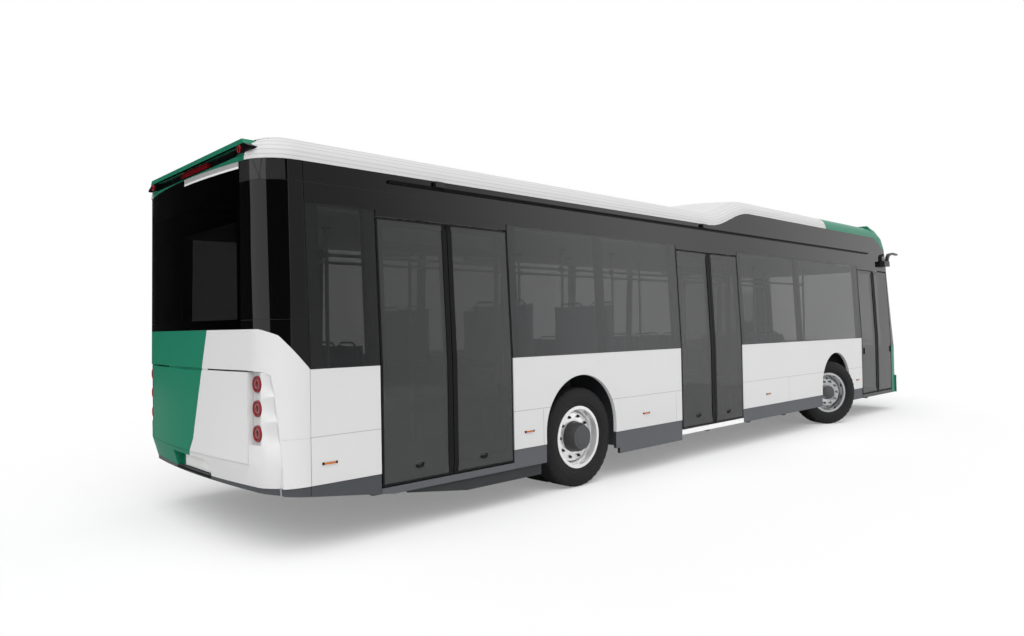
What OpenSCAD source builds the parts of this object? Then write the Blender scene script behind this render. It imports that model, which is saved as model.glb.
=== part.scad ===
// Low-floor electric city bus, two axles, three double doors on the right-hand side.
// Front is +X, right-hand side is -Y, the wheels stand on z = 0.

/* [Body] */
// Width over the side walls
body_w = 2550; // [2450:10:2600]
// How far the spoiler's edge stands ahead of the rear wall's rearmost point
spoiler_set = 58; // [40:1:70]
// Underside of the skirts above the road
skirt_z = 310; // [280:5:340]
// Top of the grey skirts, where the white panels start
panel_z = 475; // [440:5:500]
// Belt line, where the white panels end and the glass starts
belt_z = 1285; // [1240:5:1320]
// Top edge of the side glass
glass_top_z = 2460; // [2440:5:2480]
// Edge between the black side and the roof cover, behind the ramp
roof_edge_z = 2750; // [2720:5:2780]
// Height gained by the roof cover over the ramp
roof_step = 230; // [180:10:260]
// Rise of the roof cover from its edge to its crown
roof_rise = 240; // [200:10:270]
// Inward lean of the side above the belt, in mm per metre of height
side_lean = 48; // [30:1:60]
// Thickness of the lower side panels
panel_t = 40; // [30:1:50]
// Thickness of the window glass
glass_t = 8; // [6:1:12]

/* [Wheels] */
// Distance between the axles
wheelbase = 5900; // [5700:50:6000]
// Rear axle to the rear wall
rear_overhang = 3250; // [3150:50:3350]
// Front axle to the front bumper
front_overhang = 2750; // [2650:50:2850]
// Outer radius of the tyres
tyre_r = 478.5; // [465:0.5:490]
// Width of one tyre
tyre_w = 275; // [255:5:285]
// Radius of the tyre's bead, where it sits on the rim
bead_r = 286; // [280:1:290]
// Middle plane of the outer tyres from the bus's centre plane
track_half = 1100; // [1080:5:1105]
// Distance between the middle planes of twin tyres
twin_pitch = 312; // [305:1:320]
// Kingpin axis from the bus's centre plane
kingpin_y = 1000; // [990:5:1010]
// Angle by which the front wheels are turned to the right as parked
steer_rest = 28; // [0:1:30]
// Radius of the wheel arches in the side panels
arch_r = 510; // [500:5:530]
// Top of the wheel arches above the road
arch_top_z = 1083; // [1060:5:1100]

/* [Doors] */
// Middle of the rear door ahead of the rear wall
rear_door_ahead = 1643; // [1610:1:1670]
// Middle of the middle door ahead of the rear axle
mid_door_ahead = 2383; // [2350:1:2420]
// Length of the front corner, from the front doorway to the front bumper
front_corner_len = 438; // [430:1:450]
// Clear width of the rear and middle doorways
door_w = 1350; // [1300:5:1370]
// Clear width of the front doorway
front_door_w = 1290; // [1260:5:1300]
// Lower edge of the door leaves
door_z0 = 377; // [372:1:385]
// Upper edge of the door leaves
door_z1 = 2400; // [2380:5:2410]
// Gap between a leaf and its doorway
door_gap = 12; // [10:1:15]
// Thickness of a leaf's frame, without its glass
leaf_t = 32; // [28:1:36]
// Length of the swing arms of the outward-swinging leaves
arm_r = 360; // [350:1:365]
// Radius of the turning door posts
post_r = 22; // [18:1:25]

/* [Floor and ceiling] */
// Upper face of the floor
floor_z = 360; // [350:1:368]
// Thickness of the floor
floor_t = 45; // [35:1:50]
// Underside of the ceiling
ceiling_z = 2430; // [2420:1:2440]

/* [Hidden] */
$fn = 64;

// Places along the bus
body_len = rear_overhang + wheelbase + front_overhang;
// The frame's origin lies on the road, this far ahead of the rear axle
origin_ahead = 2650;
x_rear = -origin_ahead - rear_overhang;
x_front = x_rear + body_len;
x_rear_axle = x_rear + rear_overhang;
x_front_axle = x_rear_axle + wheelbase;
rear_door_x = x_rear + rear_door_ahead;
mid_door_x = x_rear_axle + mid_door_ahead;
front_seam_x = x_front - front_corner_len;
front_door_x = front_seam_x - door_gap - front_door_w / 2;
half_w = body_w / 2;

// Colours
white = [0.86, 0.87, 0.88];
green = [0.13, 0.47, 0.37];
black = [0.07, 0.07, 0.08];
grey = [0.32, 0.33, 0.35];
tint = [0.12, 0.13, 0.14, 0.6];
steel = [0.45, 0.46, 0.48];
red = [0.62, 0.06, 0.08];
amber = [0.85, 0.42, 0.08];

// Rounded ends of the body, seen from above
rear_corner_r = 300;
front_corner_r = 200;
rear_bow_r = 7500;
front_bow_r = 5000;
bumper_out = 30;
rear_side_x = x_rear + pow(half_w - rear_corner_r, 2) / (2 * rear_bow_r) + rear_corner_r;
x_wall = x_front - bumper_out;
front_side_x = x_wall - pow(half_w - front_corner_r, 2) / (2 * front_bow_r) - front_corner_r;
// Where the rear and front end pieces meet the side panels
rear_seam_x = x_rear + 380;
end_gap = 4;
seam = 0.6;

// Heights of the end pieces
hood_z0 = 1285;
hood_z1 = 1570;
groove = 12;
bumper_z0 = panel_z;
rear_window_z1 = 2700;
screen_z0 = 1120;
screen_z1 = 2640;
front_rake = 5;

// Ramp in the roof cover
ramp_x0 = mid_door_x + 87;
ramp_x1 = ramp_x0 + 990;
cap_x = x_front - 2830;
ramp_steps = 8;

function side_y(z) = half_w - max(0, z - belt_z) * side_lean / 1000;
function ramp_ease(s) = s <= 0 ? 0 : s >= 1 ? 1 : (1 - cos(180 * s)) / 2;
function roof_edge(x) = roof_edge_z + roof_step * ramp_ease((x - ramp_x0) / (ramp_x1 - ramp_x0));
function arc(cx, cy, r, a0, a1, n) = [for (i = [0 : n]) let (a = a0 + (a1 - a0) * i / n)
  [cx + r * cos(a), cy + r * sin(a)]];
// Points of the side's outline between two heights, moved inwards by a depth
function side_line(z0, z1, depth) = concat(
  [[-(side_y(z0) - depth), z0]],
  z0 < belt_z && z1 > belt_z ? [[-(side_y(belt_z) - depth), belt_z]] : [],
  [[-(side_y(z1) - depth), z1]]
);
function reversed(list) = [for (i = [len(list) - 1 : -1 : 0]) list[i]];

module along_x(x0, x1) { translate([x0, 0, 0]) rotate([90, 0, 90]) linear_extrude(x1 - x0) children(); }
module along_y(y0, y1) { translate([0, y1, 0]) rotate([90, 0, 0]) linear_extrude(y1 - y0) children(); }
module both_sides() { children(); mirror([0, 1, 0]) children(); }
module box(lo, hi) { translate(lo) cube(hi - lo); }
module rod(p, q, r) {
  d = q - p;
  translate(p) rotate([0, acos(d[2] / norm(d)), atan2(d[1], d[0])]) cylinder(h = norm(d), r = r);
}

// Strip of side wall on the right-hand side, from depth d0 to depth d1 behind the outer face
module wall(x0, x1, z0, z1, d0, d1) {
  along_x(x0, x1) polygon(concat(side_line(z0, z1, d0), reversed(side_line(z0, z1, d1))));
}

// Wheel arch cut through a side wall
module arch(x) {
  along_y(-half_w - 10, -half_w + 500) union() {
    translate([x, arch_top_z - arch_r]) circle(arch_r);
    translate([x - arch_r, 0]) square([2 * arch_r, arch_top_z - arch_r]);
  }
}

// Outline of the body's ends from above, moved inwards by a depth
function rear_plan(d) = let (c = rear_side_x, k = half_w - rear_corner_r) concat(
  [[rear_seam_x, -(half_w - d)]],
  reversed(arc(c, -k, rear_corner_r - d, 180, 270, 8)),
  [for (i = [1 : 11]) let (y = -k + 2 * k * i / 12) [x_rear + d + y * y / (2 * rear_bow_r), y]],
  reversed(arc(c, k, rear_corner_r - d, 90, 180, 8)),
  [[rear_seam_x, half_w - d]]
);
function front_plan(d) = let (c = front_side_x, k = half_w - front_corner_r) concat(
  [[front_seam_x, -(half_w - d)]],
  arc(c, -k, front_corner_r - d, 270, 360, 8),
  [for (i = [1 : 11]) let (y = -k + 2 * k * i / 12) [x_wall - d - y * y / (2 * front_bow_r), y]],
  arc(c, k, front_corner_r - d, 0, 90, 8),
  [[front_seam_x, half_w - d]]
);

// Shell of a body end between two heights: the walls lean in above the belt
module end_shell(plan_outer, plan_inner, z0, z1) {
  k = side_y(z1) / side_y(z0);
  translate([0, 0, z0]) difference() {
    linear_extrude(z1 - z0, scale = [1, k], slices = 1) polygon(plan_outer);
    translate([0, 0, -1]) linear_extrude(z1 - z0 + 2, scale = [1, k], slices = 1) polygon(plan_inner);
  }
}

// UNDERFRAME AND FLOOR

rail_y = 420;
rail_w = 70;
rail_h = 110;
underframe_z1 = floor_z - floor_t;
wheel_gap = 640;
front_box_y = 440;
rear_box_y = 540;
box_t = 20;
floor_end_y = 950;
box_top_z = arch_top_z + 30;

// Everything below the sloping lower edge of the rear overhang
departure_x = x_rear_axle - 1450;
departure_z0 = 212;
departure_rise = 0.134;
module under_departure() {
  along_y(-half_w - 50, half_w + 50) polygon([
    [departure_x, departure_z0], [departure_x, -1], [x_rear - 100, -1],
    [x_rear - 100, departure_z0 + departure_rise * (departure_x - x_rear + 100)]
  ]);
}

module underframe() {
  color(steel) difference() {
    union() {
      both_sides() box([x_rear + 300, rail_y, underframe_z1 - rail_h],
        [x_front - 300, rail_y + rail_w, underframe_z1]);
      for (x = [x_rear + 700 : 1000 : x_front - 600])
        box([x, -half_w + 150, underframe_z1 - 60], [x + 60, half_w - 150, underframe_z1]);
    }
    for (x = [x_rear_axle, x_front_axle])
      box([x - wheel_gap, -half_w, 0], [x + wheel_gap, half_w, floor_z]);
    under_departure();
  }
}

module wheel_box(x, y_in) {
  difference() {
    box([x - wheel_gap, -floor_y, underframe_z1], [x + wheel_gap, -y_in, box_top_z + box_t]);
    box([x - wheel_gap + box_t, -half_w, 0], [x + wheel_gap - box_t, -y_in - box_t, box_top_z]);
  }
}

// Floor panels: start, end, half-width, half-width at the rear end, half-width at the front end
floor_y = half_w - panel_t - 0.3;
deck_x0 = x_rear + 195;
deck_x1 = x_rear + 900;
deck_z = floor_z + 145;
floor_rows = [
  [deck_x1, x_rear_axle - wheel_gap, floor_y, floor_y, floor_y],
  [x_rear_axle - wheel_gap, x_rear_axle + wheel_gap, rear_box_y - seam, rear_box_y - seam, rear_box_y - seam],
  [x_rear_axle + wheel_gap, x_front_axle - wheel_gap, floor_y, floor_y, floor_y],
  [x_front_axle - wheel_gap, x_front_axle + wheel_gap, front_box_y - seam, front_box_y - seam,
    front_box_y - seam],
  [x_front_axle + wheel_gap, x_front - 260, floor_y, floor_y, floor_end_y]
];
floor_round = 300;
module floor_panel(r, z = underframe_z1) {
  x0 = r[0] + seam / 2;
  x1 = r[1] - seam / 2;
  translate([0, 0, z]) linear_extrude(floor_t) polygon([
    [x0, -r[3]], [x0 + floor_round, -r[2]], [x1 - floor_round, -r[2]], [x1, -r[4]],
    [x1, r[4]], [x1 - floor_round, r[2]], [x0 + floor_round, r[2]], [x0, r[3]]
  ]);
}

module floor_pan() {
  color(grey) union() {
    for (r = floor_rows) floor_panel(r);
    floor_panel([deck_x0, deck_x1, floor_y, floor_end_y, floor_y], deck_z - floor_t);
    box([deck_x1 - box_t, -floor_y, floor_z - 1], [deck_x1 - seam / 2, floor_y, deck_z - floor_t + 1]);
    both_sides() {
      wheel_box(x_rear_axle, rear_box_y);
      wheel_box(x_front_axle, front_box_y);
    }
  }
}

// SIDE WALLS

// Doorways on the right-hand side: middle, clear width
doorways = [[rear_door_x, door_w], [mid_door_x, door_w], [front_door_x, front_door_w]];
function door_x0(i) = doorways[i][0] - doorways[i][1] / 2;
function door_x1(i) = doorways[i][0] + doorways[i][1] / 2;
// Stretches of wall between the doorways on the right-hand side: start, end
wall_runs = [
  [rear_seam_x + end_gap, door_x0(0) - door_gap],
  [door_x1(0) + door_gap, door_x0(1) - door_gap],
  [door_x1(1) + door_gap, door_x0(2) - door_gap]
];

module arches() { for (x = [x_rear_axle, x_front_axle]) arch(x); }

module side_panels() {
  color(white) union() {
    difference() {
      rear_shell(panel_z + seam, corner_z0, 0, panel_t);
      bumper_zone(seam);
    }
    difference() {
      for (r = wall_runs) wall(r[0], r[1], panel_z + seam, belt_z - seam, 0, panel_t);
      arches();
    }
    mirror([0, 1, 0]) difference() {
      wall(rear_seam_x + end_gap, front_seam_x - end_gap, panel_z + seam, belt_z - seam, 0, panel_t);
      arches();
    }
  }
}

rear_skirt_z = 360;
deep_skirt_z = 252;
deep_in = 22;
module skirts() {
  color(grey) union() {
    difference() {
      intersection() {
        rear_shell(rear_skirt_z, bumper_z0 - seam, tuck_in + 4, tuck_in + 4 + panel_t);
        bumper_zone(0);
      }
      under_departure();
    }
    difference() {
      rear_shell(rear_skirt_z, panel_z, 8, panel_t);
      bumper_zone(end_gap);
      under_departure();
    }
    difference() {
      for (r = wall_runs) wall(r[0], r[1], skirt_z, panel_z, 6, panel_t);
      arches();
      under_departure();
    }
    both_sides() {
      wall(x_rear_axle + arch_r + 60, door_x0(1) - door_gap, deep_skirt_z, skirt_z + 1, 6, panel_t);
      difference() {
        union() {
          wall(departure_x - 600, door_x1(0) + door_gap, departure_z0, skirt_z - seam, deep_in, panel_t);
          wall(door_x1(0) + door_gap, x_rear_axle - arch_r - 60, departure_z0, skirt_z + 1, deep_in, panel_t);
        }
        under_departure();
      }
    }
    mirror([0, 1, 0]) difference() {
      wall(rear_seam_x + end_gap, front_seam_x - end_gap, skirt_z, panel_z, 6, panel_t);
      arches();
      under_departure();
    }
  }
}

module door_sills() {
  color(white) difference() {
    for (i = [0 : 2])
      wall(door_x0(i) - door_gap + 2, door_x1(i) + door_gap - 2, skirt_z, door_z0 - door_gap, 2, panel_t);
    under_departure();
  }
}

// Posts behind the glass: middle of each post on the right and left
pillar_t = 50;
pillar_w = 90;
right_posts = [
  rear_seam_x + 60, door_x0(0) - 60, door_x1(0) + 60, x_rear_axle + 350, door_x0(1) - 60,
  door_x1(1) + 60, x_front_axle - 1150, door_x0(2) - 60
];
left_bays = 8;
left_posts = [for (i = [0 : left_bays]) rear_seam_x + 60 + (front_seam_x - rear_seam_x - 120)
  * i / left_bays];

module post(x, z0, z1) { wall(x - pillar_w / 2, x + pillar_w / 2, z0, z1, glass_t, glass_t + pillar_t); }

module side_pillars() {
  color(black) union() {
    for (x = right_posts) post(x, belt_z, glass_top_z);
    mirror([0, 1, 0]) for (x = left_posts) post(x, belt_z, glass_top_z);
  }
}

// Glass panes: start and end on the right and on the left
right_panes = wall_runs;
left_panes = [for (i = [0 : len(left_posts) - 2]) [
  i == 0 ? rear_seam_x + end_gap : left_posts[i] + seam / 2,
  i == len(left_posts) - 2 ? front_seam_x - end_gap : left_posts[i + 1] - seam / 2
]];

module side_glass() {
  color(tint) union() {
    for (r = right_panes) wall(r[0], r[1], belt_z, glass_top_z - seam, 0, glass_t);
    mirror([0, 1, 0]) for (r = left_panes) wall(r[0], r[1], belt_z, glass_top_z - seam, 0, glass_t);
  }
}

// Black upper side, with its rain gutter and the raised fairing side over the ramp
rail_t = 60;
gutter_z = 2680;
gutter_h = 18;
drip_x0 = x_rear + 1090;
drip_x1 = x_front - 1250;
header_gap = 12;
header_t = 14;

module cant_rails() {
  color(black) {
    cant_rail();
    mirror([0, 1, 0]) cant_rail();
    for (d = [[rear_door_x, door_w], [mid_door_x, door_w], [front_door_x, front_door_w]])
      wall(d[0] - d[1] / 2, d[0] + d[1] / 2, door_z1 + header_gap, glass_top_z + 1, 2, header_t);
  }
}
module cant_rail() {
  union() {
    union() {
      wall(rear_seam_x + end_gap, roof_front_x - seam, glass_top_z, roof_edge_z, 0, rail_t);
      wall(drip_x0, drip_x1, gutter_z, gutter_z + gutter_h, -18, 1);
      wall(roof_front_x - 2, front_seam_x - end_gap, glass_top_z, screen_z1, 0, rail_t);
      intersection() {
        wall(ramp_x0, roof_front_x - seam, roof_edge_z - 1, roof_edge_z + roof_step, 0, rail_t);
        along_y(-half_w, 0) polygon(concat(
          [[front_seam_x, roof_edge_z - 1], [front_seam_x, roof_edge_z + roof_step]],
          [for (i = [ramp_steps : -1 : 0]) let (x = ramp_x0 + (ramp_x1 - ramp_x0) * i / ramp_steps)
            [x, roof_edge(x)]],
          [[ramp_x0, roof_edge_z - 1]]
        ));
      }
    }
  }
}

// ROOF

// Cross-section of the roof cover with its edge at a height, moved inwards by a depth
function roof_section(z, d) = let (y = side_y(z) - d, r = 0.75 * roof_rise, k = y - r, t = roof_rise - d)
  concat(
  [[-y, z]],
  [for (i = [1 : 6]) let (a = 90 * i / 6) [-(k + r * cos(a)), z + (r - d) * sin(a)]],
  [for (i = [1 : 7]) let (s = -1 + i / 4) [k * s, z + (r - d) + (t - r + d) * (1 - s * s)]],
  [for (i = [6 : -1 : 1]) let (a = 90 * i / 6) [k + r * cos(a), z + (r - d) * sin(a)]],
  [[y, z]]
);
roof_t = 25;
roof_seam = 0.4;
roof_round = 0.75 * roof_rise;
roof_void_x = rear_seam_x - 100;
roof_front_x = front_seam_x - 480;

module roof_slice(x, d) { along_x(x, x + 1) polygon(roof_section(roof_edge(x) + roof_seam, d)); }
module roof_ramp(d) {
  for (i = [0 : ramp_steps - 1]) {
    x0 = ramp_x0 + (ramp_x1 - ramp_x0) * i / ramp_steps;
    x1 = ramp_x0 + (ramp_x1 - ramp_x0) * (i + 1) / ramp_steps;
    hull() { roof_slice(x0 - 0.5, d); roof_slice(x1 - 0.5, d); }
  }
}
module roof_run(x0, x1, d) { along_x(x0, x1) polygon(roof_section(roof_edge(x0) + roof_seam, d)); }

// Outline of the roof's rear end from above, moved inwards by a depth
roof_back = 4;
function roof_plan(d) = let (
  h = side_y(roof_edge_z + roof_seam), r = 0.94 * rear_corner_r, k = h - r,
  x0 = x_rear + roof_back, c = x0 + k * k / (2 * rear_bow_r) + r
) concat(
  [[rear_seam_x, -(h - d)]],
  reversed(arc(c, -k, r - d, 180, 270, 8)),
  [for (i = [1 : 11]) let (y = -k + 2 * k * i / 12) [x0 + d + y * y / (2 * rear_bow_r), y]],
  reversed(arc(c, k, r - d, 90, 180, 8)),
  [[rear_seam_x, h - d]]
);
module roof_rear_end() {
  hull() {
    for (i = [0 : 6]) let (a = 90 * i / 6)
      translate([0, 0, roof_edge_z + roof_seam + (roof_round - 0.5) * sin(a)]) linear_extrude(0.5)
        polygon(roof_plan(roof_round * (1 - cos(a))));
    roof_slice(rear_seam_x - 1, 0);
  }
}

module roof_cover() {
  color(white) difference() {
    union() {
      roof_rear_end();
      roof_run(rear_seam_x - 1, ramp_x0 + 0.5, 0);
      roof_ramp(0);
      roof_run(ramp_x1 - 0.5, cap_x, 0);
    }
    roof_run(roof_void_x, ramp_x0 + 0.5, roof_t);
    roof_ramp(roof_t);
    roof_run(ramp_x1 - 0.5, cap_x + 1, roof_t);
    spoiler_zone(seam);
  }
}

module ceiling() {
  color([0.75, 0.76, 0.77])
    box([rear_seam_x + 20, -(side_y(ceiling_z) - rail_t - glass_t - 10), ceiling_z],
      [front_seam_x - 200, side_y(ceiling_z) - rail_t - glass_t - 10, ceiling_z + 25]);
}

// REAR END

bumper_t = 120;
hood_t = 60;
flap_y = 975;
flap_z0 = 640;
flap_t = 30;
flap_gap = 8;
lamp_r = 58;
lamp_y = 1055;
strip_x = x_rear + 105;
strip_z0 = 772;
lamp_face_x = strip_x - 4;
lamp_seat_x = x_rear + 134;
lamp_zs = [851, 1023, 1191];
// Flutes beside the lamps: radius, and where their floor starts and ends from the rear wall and the side
flute_r = 185;
flute_in = [strip_x, -(lamp_y + lamp_r)];
flute_out = [x_rear + 185, -(half_w - 85)];
tuck_z = 640;
tuck_in = 45;
corner_z0 = 810;
corner_x = x_rear + 205;
plate_w = 520;
plate_h = 105;
plate_z = 478;
plate_x = x_rear + 95;
plate_room = 95;
plate_t = 12;

module rear_shell(z0, z1, d0, d1) { end_shell(rear_plan(d0), rear_plan(d1), z0, z1); }
// Side view of the seam between the bumper and the corner panels: distance from the rear wall, height
corner_seam = [[207, 0], [205, 430], [183, 830], [158, 1130], [142, 1252], [105, 1276], [40, 1286],
  [-60, 1286]];
module bumper_zone(g) {
  along_y(-half_w - 50, half_w + 50) polygon(concat(
    [[x_rear - 60, 0]], [for (p = corner_seam) [x_rear + p[0] + g, p[1]]], [[x_rear - 60, 1286]]
  ));
}
// Side view of everything under the belt as it climbs round the rear corner
belt_climb_x = x_rear + 95;
module under_belt(g) {
  along_y(-half_w - 50, half_w + 50) polygon([
    [x_rear - 60, 0], [x_rear - 60, hood_z1 - g], [belt_climb_x, hood_z1 - g],
    [belt_climb_x + 90, hood_z1 - 45 - g], [rear_seam_x + 4, belt_z - g], [rear_seam_x + 4, 0]
  ]);
}

module rear_tuck() {
  difference() {
    hull() {
      translate([0, 0, tuck_z]) linear_extrude(0.5) polygon(rear_plan(0));
      translate([0, 0, bumper_z0]) linear_extrude(0.5) polygon(rear_plan(tuck_in));
    }
    translate([0, 0, bumper_z0 - 1]) linear_extrude(tuck_z) polygon(rear_plan(bumper_t));
  }
}
module lamp_flute(z) {
  d = flute_out - flute_in;
  u = d / norm(d);
  n = [u[1], -u[0]];
  q = flute_in + flute_r * n - 15 * u;
  translate([q[0], q[1], z]) rotate([0, 0, atan2(u[1], u[0])]) rotate([0, 90, 0])
    cylinder(h = norm(d) + 90, r = flute_r, $fn = 96);
}
module rear_bumper() {
  color(green) difference() {
    intersection() {
      union() {
        rear_shell(tuck_z, hood_z0 - groove, 0, bumper_t);
        rear_tuck();
      }
      bumper_zone(0);
    }
    box([x_rear - 50, -flap_y - flap_gap, flap_z0 - flap_gap], [x_rear + 400, flap_y + flap_gap, hood_z0]);
    both_sides() {
      box([x_rear - 50, -lamp_y - lamp_r, strip_z0], [strip_x, -flap_y - flap_gap + 1, hood_z0]);
      for (z = lamp_zs) {
        lamp_flute(z);
        translate([x_rear - 50, -lamp_y, z]) rotate([0, 90, 0])
          cylinder(h = lamp_seat_x - x_rear + 50, r = lamp_r + 0.5);
      }
    }
    box([x_rear - 50, -plate_w / 2 - plate_room, bumper_z0 - 1],
      [plate_x, plate_w / 2 + plate_room, plate_z + plate_h + 16]);
  }
}

// Service flap, bevelled along its top edge to clear the hood as it lifts
flap_pin_x = x_rear + 14;
flap_pin_z = 1279;
flap_pin_r = 5.6;
flap_pin_y = 400;
module rear_flap() {
  color(green) union() {
    difference() {
      intersection() {
        rear_shell(flap_z0, hood_z0 - groove, 0, flap_t);
        box([x_rear - 50, -flap_y, 0], [x_rear + 300, flap_y, hood_z0]);
      }
      along_y(-half_w, half_w) polygon([
        [x_rear - 1, hood_z0 - groove - 18], [x_rear + 14, hood_z0 - groove + 1],
          [x_rear - 1, hood_z0 - groove + 1]
      ]);
    }
    translate([flap_pin_x, flap_pin_y, flap_pin_z]) rotate([90, 0, 0])
      cylinder(h = 2 * flap_pin_y, r = flap_pin_r);
    box([flap_pin_x - 1, -flap_pin_y, hood_z0 - groove - 10], [flap_pin_x + 4, flap_pin_y, flap_pin_z]);
  }
}

module rear_hood() {
  color(white) union() {
    intersection() {
      rear_shell(hood_z0, hood_z1 + 1, 0, hood_t);
      under_belt(seam);
    }
    difference() {
      rear_shell(corner_z0 + seam, hood_z0, 0, hood_t);
      bumper_zone(seam);
      box([x_rear - 50, -flap_y - flap_gap, 0], [x_rear + 400, flap_y + flap_gap, hood_z0]);
    }
  }
}

rear_glass_y = 900;
rear_glass_t = 10;
module display_zone(g) {
  box([x_rear - 50, display_y0 + g, display_z0 + g], [x_rear + 300, display_y1 - g, roof_edge_z + 50]);
}
module rear_window() {
  color(black) difference() {
    intersection() {
      rear_shell(hood_z1, roof_edge_z, 0, rear_glass_t);
      box([x_rear - 50, -rear_glass_y, 0], [x_rear + 300, rear_glass_y, 4000]);
    }
    display_zone(0);
  }
}

module rear_corner_trims() {
  difference() {
    rear_shell(belt_z, roof_edge_z, 0, hood_t);
    box([x_rear - 50, -rear_glass_y - seam, 0], [x_rear + 300, rear_glass_y + seam, 4000]);
    under_belt(0);
  }
}

// Spoiler: upper lip, dark recess with end blocks for the round lamps, and lower lip
spoiler_x0 = x_rear + spoiler_set;
spoiler_x1 = spoiler_x0 + 132;
spoiler_z0 = roof_edge_z + roof_seam;
recess_z0 = spoiler_z0 + 52;
lip_z0 = spoiler_z0 + 117;
spoiler_z1 = spoiler_z0 + 154;
lip_y = 945;
recess_y = 850;
tip_y = 1062;
recess_back = 45;
module spoiler_zone(g) {
  box([x_rear - 100, -tip_y - g, roof_edge_z - 10], [spoiler_x1, tip_y + g, spoiler_z1 + g]);
}
module rear_spoiler() {
  x1 = spoiler_x1 - seam;
  color(green) union() {
    along_x(spoiler_x0 + 20, x1)
      polygon([[-lip_y - 30, spoiler_z0], [lip_y + 30, spoiler_z0], [lip_y + 20, recess_z0],
        [-lip_y - 20, recess_z0]]);
    along_x(spoiler_x0 + recess_back, x1)
      polygon([[-recess_y, recess_z0], [recess_y, recess_z0], [recess_y, lip_z0], [-recess_y, lip_z0]]);
    both_sides() along_x(spoiler_x0 + 4, x1)
      polygon([[-recess_y, recess_z0], [-lip_y, recess_z0], [-tip_y + 12, recess_z0 + 18],
        [-tip_y, recess_z0 + 32], [-lip_y - 30, lip_z0], [-recess_y, lip_z0]]);
    along_x(spoiler_x0, x1)
      polygon([[-lip_y - 30, lip_z0], [lip_y + 30, lip_z0], [lip_y, spoiler_z1], [-lip_y, spoiler_z1]]);
  }
}

// High lamps in the recess: long brake lamp in the middle, and a round lamp in each end block
brake_y = 270;
brake_h = 44;
brake_out = 24;
high_lamp_y = 905;
high_lamp_r = 27;
high_lamp_out = 5;
module high_lamps() {
  zc = (recess_z0 + lip_z0) / 2;
  box([spoiler_x0 + recess_back - brake_out, -brake_y, zc - brake_h / 2],
    [spoiler_x0 + recess_back, brake_y, zc + brake_h / 2]);
  for (y = [-high_lamp_y, high_lamp_y])
    translate([spoiler_x0 + 4 - high_lamp_out, y, zc]) rotate([0, 90, 0])
      cylinder(h = high_lamp_out, r = high_lamp_r);
}

module tail_lamps() {
  color(red) union() {
    both_sides() for (z = lamp_zs)
      translate([lamp_face_x, -lamp_y, z]) rotate([0, 90, 0])
        cylinder(h = lamp_seat_x - lamp_face_x, r = lamp_r);
    high_lamps();
  }
}

display_y0 = -890;
display_y1 = -10;
display_z0 = 2700;
module rear_display() {
  color([0.8, 0.8, 0.8]) intersection() {
    rear_shell(belt_z, roof_edge_z, 0, rear_glass_t);
    display_zone(seam);
  }
}

module number_plate() {
  color([0.9, 0.9, 0.85]) box([plate_x - plate_t, -plate_w / 2, plate_z],
    [plate_x, plate_w / 2, plate_z + plate_h]);
}

// FRONT END

front_t = 60;
screen_t = 12;
screen_y = 1020;
lamp_pod = [[620, 1040], [640, 830]];
nose_z1 = 600;
module front_shell(z0, z1, d0, d1) { end_shell(front_plan(d0), front_plan(d1), z0, z1); }
module raked() {
  translate([x_wall, 0, screen_z0]) rotate([0, -front_rake, 0]) translate([-x_wall, 0, -screen_z0])
    children();
}
// Raked upper front wall, from depth d0 to depth d1
function wide_front_plan(d) = concat([[front_seam_x - 400, -(half_w - d)]], front_plan(d),
  [[front_seam_x - 400, half_w - d]]);
module upper_front(d0, d1) {
  intersection() {
    raked() end_shell(wide_front_plan(d0), wide_front_plan(d1), screen_z0, screen_z1 + 200);
    box([front_seam_x, -half_w - 10, screen_z0 + seam], [x_front, half_w + 10, screen_z1]);
  }
}

module headlamp_zone(g) {
  both_sides() box([x_front - 400, lamp_pod[0][0] + g, lamp_pod[1][0] + g],
    [x_front + 10, lamp_pod[0][1] - g, lamp_pod[1][1] - g]);
}

module front_panel() {
  color(green) difference() {
    union() {
      front_shell(skirt_z, screen_z0, 0, front_t);
      intersection() {
        front_shell(skirt_z, nose_z1, -bumper_out, 10);
        box([front_side_x + 60, -half_w - 50, 0], [x_front + 50, half_w + 50, nose_z1]);
      }
    }
    intersection() {
      front_shell(skirt_z, screen_z0, -10, 30);
      headlamp_zone(0);
    }
  }
}

module headlamps() {
  color([0.8, 0.85, 0.9]) intersection() {
    front_shell(skirt_z, screen_z0, 0, 30);
    headlamp_zone(2);
  }
}

module windscreen() {
  color(tint) intersection() {
    upper_front(0, screen_t);
    box([x_front - 600, -screen_y, 0], [x_front, screen_y, 4000]);
  }
}

dome_x0 = roof_front_x;
dome_n = 5;
dome_z0 = screen_z1 + seam;
module dome_slice(i, d) {
  a = 90 * i / dome_n;
  top = roof_edge_z + roof_step + roof_rise;
  z = dome_z0 + (top - d - dome_z0) * sin(a);
  back = (dome_z0 - screen_z0) * tan(front_rake) + 760 * (1 - cos(a));
  ky = (side_y(min(z, roof_edge_z + roof_step)) - (i > 2 ? 40 * (i - 2) : 0)) / half_w;
  translate([-back, 0, z]) linear_extrude(0.5) scale([1, ky]) polygon(front_plan(d));
}
module dome(d) {
  hull() {
    roof_slice(dome_x0, d);
    translate([dome_x0, -(side_y(dome_z0) - d), dome_z0]) cube([1, 2 * (side_y(dome_z0) - d), 1]);
    for (i = [0 : dome_n]) intersection() {
      dome_slice(i, d);
      box([dome_x0, -half_w, 0], [x_front, half_w, 4000]);
    }
  }
}
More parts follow.
